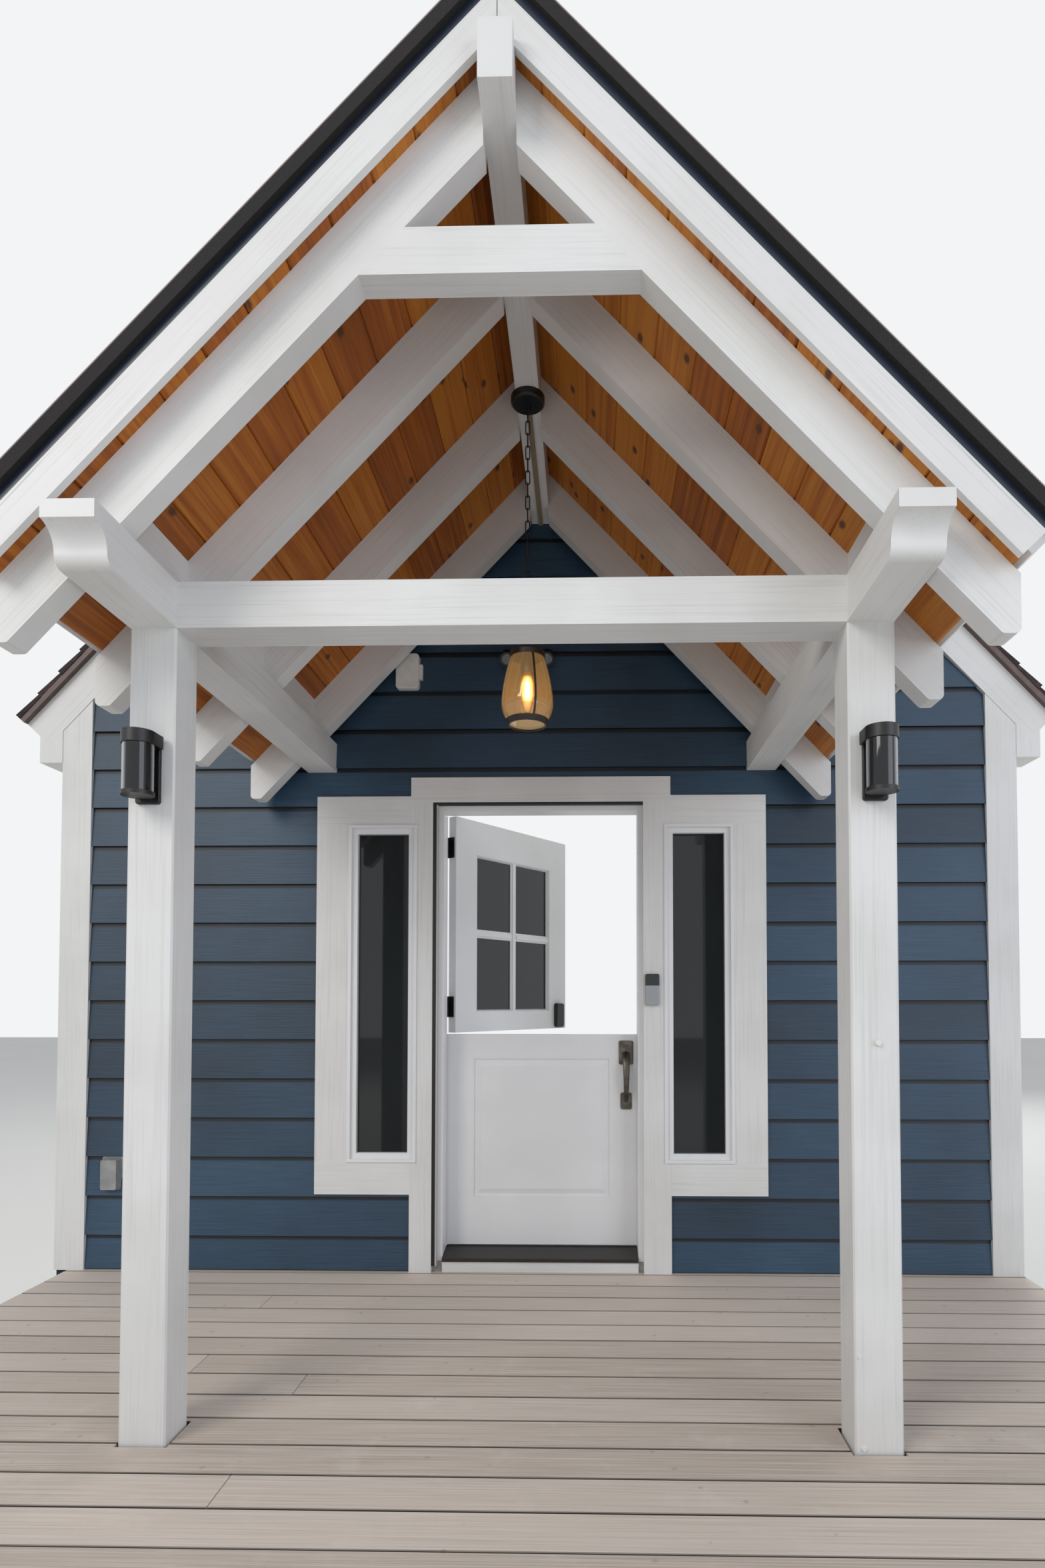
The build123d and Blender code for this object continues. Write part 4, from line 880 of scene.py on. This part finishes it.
# Deck boards: eased boards with open joints of uneven width, counted from the wall. Four of them
# are made up of two lengths, which meet at the places across given here.
deckBoards = {"pitch": 150.6 * mm, "gapLeast": 4 * mm, "gapMost": 8 * mm, "ease": 2 * mm,
              "firstJoint": 42.6 * mm, "endGap": 3 * mm, "postGap": 8 * mm, "leastRow": 37 * mm,
              "meetings": {3: -1111 * mm, 7: -1111 * mm, 8: -712 * mm, 12: -712 * mm}}


def makeDeckBoards():
    sizes = deckBoards
    shape = newShape()
    ease = sizes["ease"]
    bottom = deckLow.z
    near = wallFace
    far = wallFace - sizes["firstJoint"]
    row = 0
    while near > deckFront + ease:
        if far - deckFront < sizes["leastRow"]:
            far = deckFront
        front = far
        if far > deckFront:
            front += dice.uniform(sizes["gapLeast"], sizes["gapMost"])
        outline = [(front + ease, bottom), (near - ease, bottom), (near, bottom + ease),
                   (near, deckTop - ease), (near - ease, deckTop), (front + ease, deckTop),
                   (front, deckTop - ease), (front, bottom + ease)]
        meeting = [sizes["meetings"][row]] if row in sizes["meetings"] else []
        ends = [deckLow.x] + meeting + [deckHigh.x]
        for left, right in zip(ends[:-1], ends[1:]):
            x0 = left + (sizes["endGap"] / 2 if left in meeting else 0)
            x1 = right - (sizes["endGap"] / 2 if right in meeting else 0)

            def place(y, z, end):
                return (x0 + end * (x1 - x0), y, z)
            addPrism(shape, outline, place)
        near = far
        far -= sizes["pitch"]
        row += 1
    boards = makePiece("decking", shape, makeDeckStain(), "porch", ["deck_boards"])
    cutPostNotches(boards, sizes["postGap"])


# Cuts square notches for the two posts, a gap wider all round
def cutPostNotches(piece, gap):
    low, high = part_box("posts")
    size = high.y - low.y
    cutter = bpy.data.meshes.new("postNotch")
    work = bmesh.new()
    for side in (-1, 1):
        centre = Vector((side * (high.x - size / 2), (low.y + high.y) / 2, deckTop))
        bmesh.ops.create_cube(work, size=size + 2 * gap, matrix=Matrix.Translation(centre))
    work.to_mesh(cutter)
    work.free()
    tool = addObject("postNotch", cutter)
    cut = piece.modifiers.new("postNotch", "BOOLEAN")
    cut.operation = "DIFFERENCE"
    cut.solver = "EXACT"
    cut.object = tool
    bpy.context.view_layer.update()
    notched = piece.evaluated_get(bpy.context.evaluated_depsgraph_get())
    notched = bpy.data.meshes.new_from_object(notched)
    piece.modifiers.clear()
    piece.data = notched
    bpy.data.objects.remove(tool)
    bpy.data.meshes.remove(cutter)


makeDeckBoards()
print("deck laid")


# Glazing bars and beads of the upper leaf, made on the shut leaf and then swung with it
glazing = {"stile": 154 * mm, "bar": 26 * mm, "barShoulder": 42 * mm, "barSetback": 5 * mm,
           "barEase": 2 * mm, "shoulderDepth": 8 * mm, "shoulderSlope": 3 * mm, "bead": 10 * mm,
           "beadTop": 4 * mm, "beadStep": 3 * mm, "beadSetback": 4 * mm, "glass": 6 * mm,
           "putty": 0.2 * mm}


def upperLeafTurn():
    joint = [j for j in frame["joints"] if j["child"] == "upper_door"][0]
    hinge = Vector(joint["pos_m"])
    angle = radians(-joint["range_deg"][0])
    return Matrix.Translation(hinge) @ Matrix.Rotation(angle, 4, "Z") @ Matrix.Translation(-hinge)


def makeGlazingBars():
    sizes = glazing
    shape = newShape()
    leafLow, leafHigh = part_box("lower_leaf")
    paneLow, paneHigh = [corner.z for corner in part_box("upper_leaf_glass")]
    half = leafHigh.x - sizes["stile"]
    reach = half - sizes["bead"]
    middle = (leafLow.y + leafHigh.y) / 2
    leafHalf = (leafHigh.y - leafLow.y) / 2
    glassFace = sizes["glass"] / 2 + sizes["putty"]
    bar = sizes["bar"] / 2
    foot = sizes["barShoulder"] / 2
    ease = sizes["barEase"]
    depth = leafHalf - sizes["barSetback"]
    shoulder = glassFace + sizes["shoulderDepth"]
    rim = shoulder - sizes["shoulderSlope"]
    section = [(-foot, glassFace), (foot, glassFace), (foot, rim), (bar, shoulder),
               (bar, depth - ease), (bar - ease, depth), (ease - bar, depth), (-bar, depth - ease),
               (-bar, shoulder), (-foot, rim)]
    beadFace = leafHalf - sizes["beadSetback"]
    bead = [(0, glassFace), (sizes["bead"], glassFace),
            (sizes["bead"], glassFace + sizes["beadStep"]), (sizes["beadTop"], beadFace),
            (0, beadFace)]
    for face in (-1, 1):
        def upright(a, b, end):
            return (a, middle + face * b, paneLow + end * (paneHigh - paneLow))
        addPrism(shape, section, upright)
        for side in (-1, 1):
            def level(a, b, end):
                return (side * (foot + end * (half - foot)), middle + face * b,
                        (paneLow + paneHigh) / 2 + a)
            addPrism(shape, section, level)
        for side in (-1, 1):
            def sideBead(a, b, end):
                return (side * (half - a), middle + face * b, paneLow + end * (paneHigh - paneLow))
            addPrism(shape, bead, sideBead)

            def endBead(a, b, end):
                z = paneHigh - a if side > 0 else paneLow + a
                return (-reach + end * 2 * reach, middle + face * b, z)
            addPrism(shape, bead, endBead)
    makePiece("upper_glazing_bars", shape, whiteEnamel, "upper_door",
              turn=upperLeafTurn())


makeGlazingBars()
print("leaves glazed")


# Low round caps: the lenses of the flood light, and what is fixed to the right post
capShrink = 0.25


def addCapDisc(shape, centre, axis, disc):
    turn = Vector(axis).to_track_quat("Z", "Y").to_matrix()
    angles = [2 * pi * i / disc["sides"] for i in range(disc["sides"])]

    def place(a, b, end):
        radius = disc["radius"] * (1 - capShrink * end)
        return Vector(centre) + turn @ Vector((a * radius, b * radius, end * disc["height"]))
    addPrism(shape, [(cos(angle), sin(angle)) for angle in angles], place)


floodLens = {"radius": 24 * mm, "height": 3 * mm, "spread": 92 * mm, "tilt": radians(40),
             "reach": 70 * mm, "armSetback": 32 * mm, "armHeight": 2858 * mm, "sides": 24}


def makeFloodLenses():
    sizes = floodLens
    shape = newShape()
    low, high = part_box("flood_light")
    axis = Vector((0, -cos(sizes["tilt"]), -sin(sizes["tilt"])))
    for side in (-1, 1):
        arm = Vector(((low.x + high.x) / 2 + side * sizes["spread"], wallFace - sizes["armSetback"],
                      deckTop + sizes["armHeight"]))
        addCapDisc(shape, arm + axis * sizes["reach"], axis, sizes)
    makePiece("flood_lenses", shape, lensGlass, "porch")


# On the front of the right post, across and up from the origin: a white button and two bolt heads
postFixings = [
    {"x": 1031 * mm, "z": 1337 * mm, "radius": 11 * mm, "height": 10 * mm, "sides": 20},
    {"x": 972 * mm, "z": 471 * mm, "radius": 6 * mm, "height": 3 * mm, "sides": 12},
    {"x": 982 * mm, "z": 224 * mm, "radius": 8 * mm, "height": 4 * mm, "sides": 12},
]


def makePostFixings():
    shape = newShape()
    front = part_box("posts")[0].y
    for disc in postFixings:
        addCapDisc(shape, (disc["x"], front, disc["z"]), (0, -1, 0), disc)
    makePiece("post_fixings", shape, whitePlastic, "porch")


makeFloodLenses()
makePostFixings()
print("small pieces made")


# Pale paper floor, world, lamps and camera
studio = {"floor": [(0.3, "#E6E4E0"), (0.7, "#E9E7E3")], "floorHalf": 30, "mottleMm": 2500,
          "sky": "#F3F4F5", "ambient": "#E9EEF5", "ambientStrength": 0.6}
lamps = {
    "keyLamp": {"place": (-6.0, -9.0, 7.5), "aim": (0, -0.8, 1.8), "size": 5, "power": 490,
                "colour": "#FFFBF5"},
    "fillLamp": {"place": (7.5, -8.0, 4.0), "aim": (0, -0.8, 1.6), "size": 6, "power": 270,
                 "colour": "#EEF3FF"},
    "backLamp": {"place": (3.5, 8.0, 7.0), "aim": (0, 0, 2.0), "size": 6, "power": 400,
                 "colour": "#FFFFFF"},
}


def makeFloor():
    mesh = bpy.data.meshes.new("floor")
    half = studio["floorHalf"]
    mesh.from_pydata([(-half, -half, 0), (half, -half, 0), (half, half, 0), (-half, half, 0)],
                     [], [(0, 1, 2, 3)])
    material = newMaterial("palePaperFloor", Roughness=0.9)
    base = pattern(material, studio["mottleMm"], stops=studio["floor"])
    mesh.materials.append(linkShader(material, Base_Color=base))
    addObject("floor", mesh)


# The camera, gloss and glass see a white backdrop, and the light itself comes from the ambient
def makeWorld():
    world = bpy.data.worlds.new("studioWorld")
    world.use_nodes = True
    bpy.context.scene.world = world
    ambient = world.node_tree.nodes["Background"]
    ambient.inputs["Color"].default_value = linear(studio["ambient"])
    ambient.inputs["Strength"].default_value = studio["ambientStrength"]
    backdrop = addNode(world, "Background", {"Color": studio["sky"], "Strength": 1.0})
    ray = addNode(world, "LightPath").node.outputs
    seen = addNode(world, "Math", {0: ray["Is Camera Ray"], 1: ray["Is Glossy Ray"]},
                   operation="MAXIMUM")
    seen = addNode(world, "Math", {0: seen, 1: ray["Is Transmission Ray"]}, operation="MAXIMUM")
    joined = addNode(world, "MixShader", {0: seen, 1: ambient.outputs[0], 2: backdrop})
    world.node_tree.links.new(joined, world.node_tree.nodes["World Output"].inputs[0])


def makeLamps():
    for name, lamp in lamps.items():
        light = bpy.data.lights.new(name, "AREA")
        light.size = lamp["size"]
        light.energy = lamp["power"]
        light.color = linear(lamp["colour"])[:3]
        holder = addObject(name, light)
        holder.location = lamp["place"]
        aim = Vector(lamp["aim"]) - Vector(lamp["place"])
        holder.rotation_euler = aim.to_track_quat("-Z", "Y").to_euler()


# The camera stands where the photograph was taken from, a step in front of the porch
eye = {"place": (0.23127, -4.03184, 1.45172), "upDegrees": 1.742, "leftDegrees": 1.2376}
eyeLens = {"sensor_fit": "VERTICAL", "sensor_height": 36, "lens": 19.594, "shift_x": -0.0315,
           "shift_y": 0.1220}


def makeCamera():
    data = bpy.data.cameras.new("eye")
    for setting, value in eyeLens.items():
        setattr(data, setting, value)
    holder = addObject("eye", data)
    holder.location = eye["place"]
    holder.rotation_euler = (radians(90 + eye["upDegrees"]), 0, radians(eye["leftDegrees"]))
    bpy.context.scene.camera = holder


makeFloor()
makeWorld()
makeLamps()
makeCamera()
bpy.context.scene.view_settings.view_transform = "Standard"
print("stage set")

bpy.context.view_layer.update()
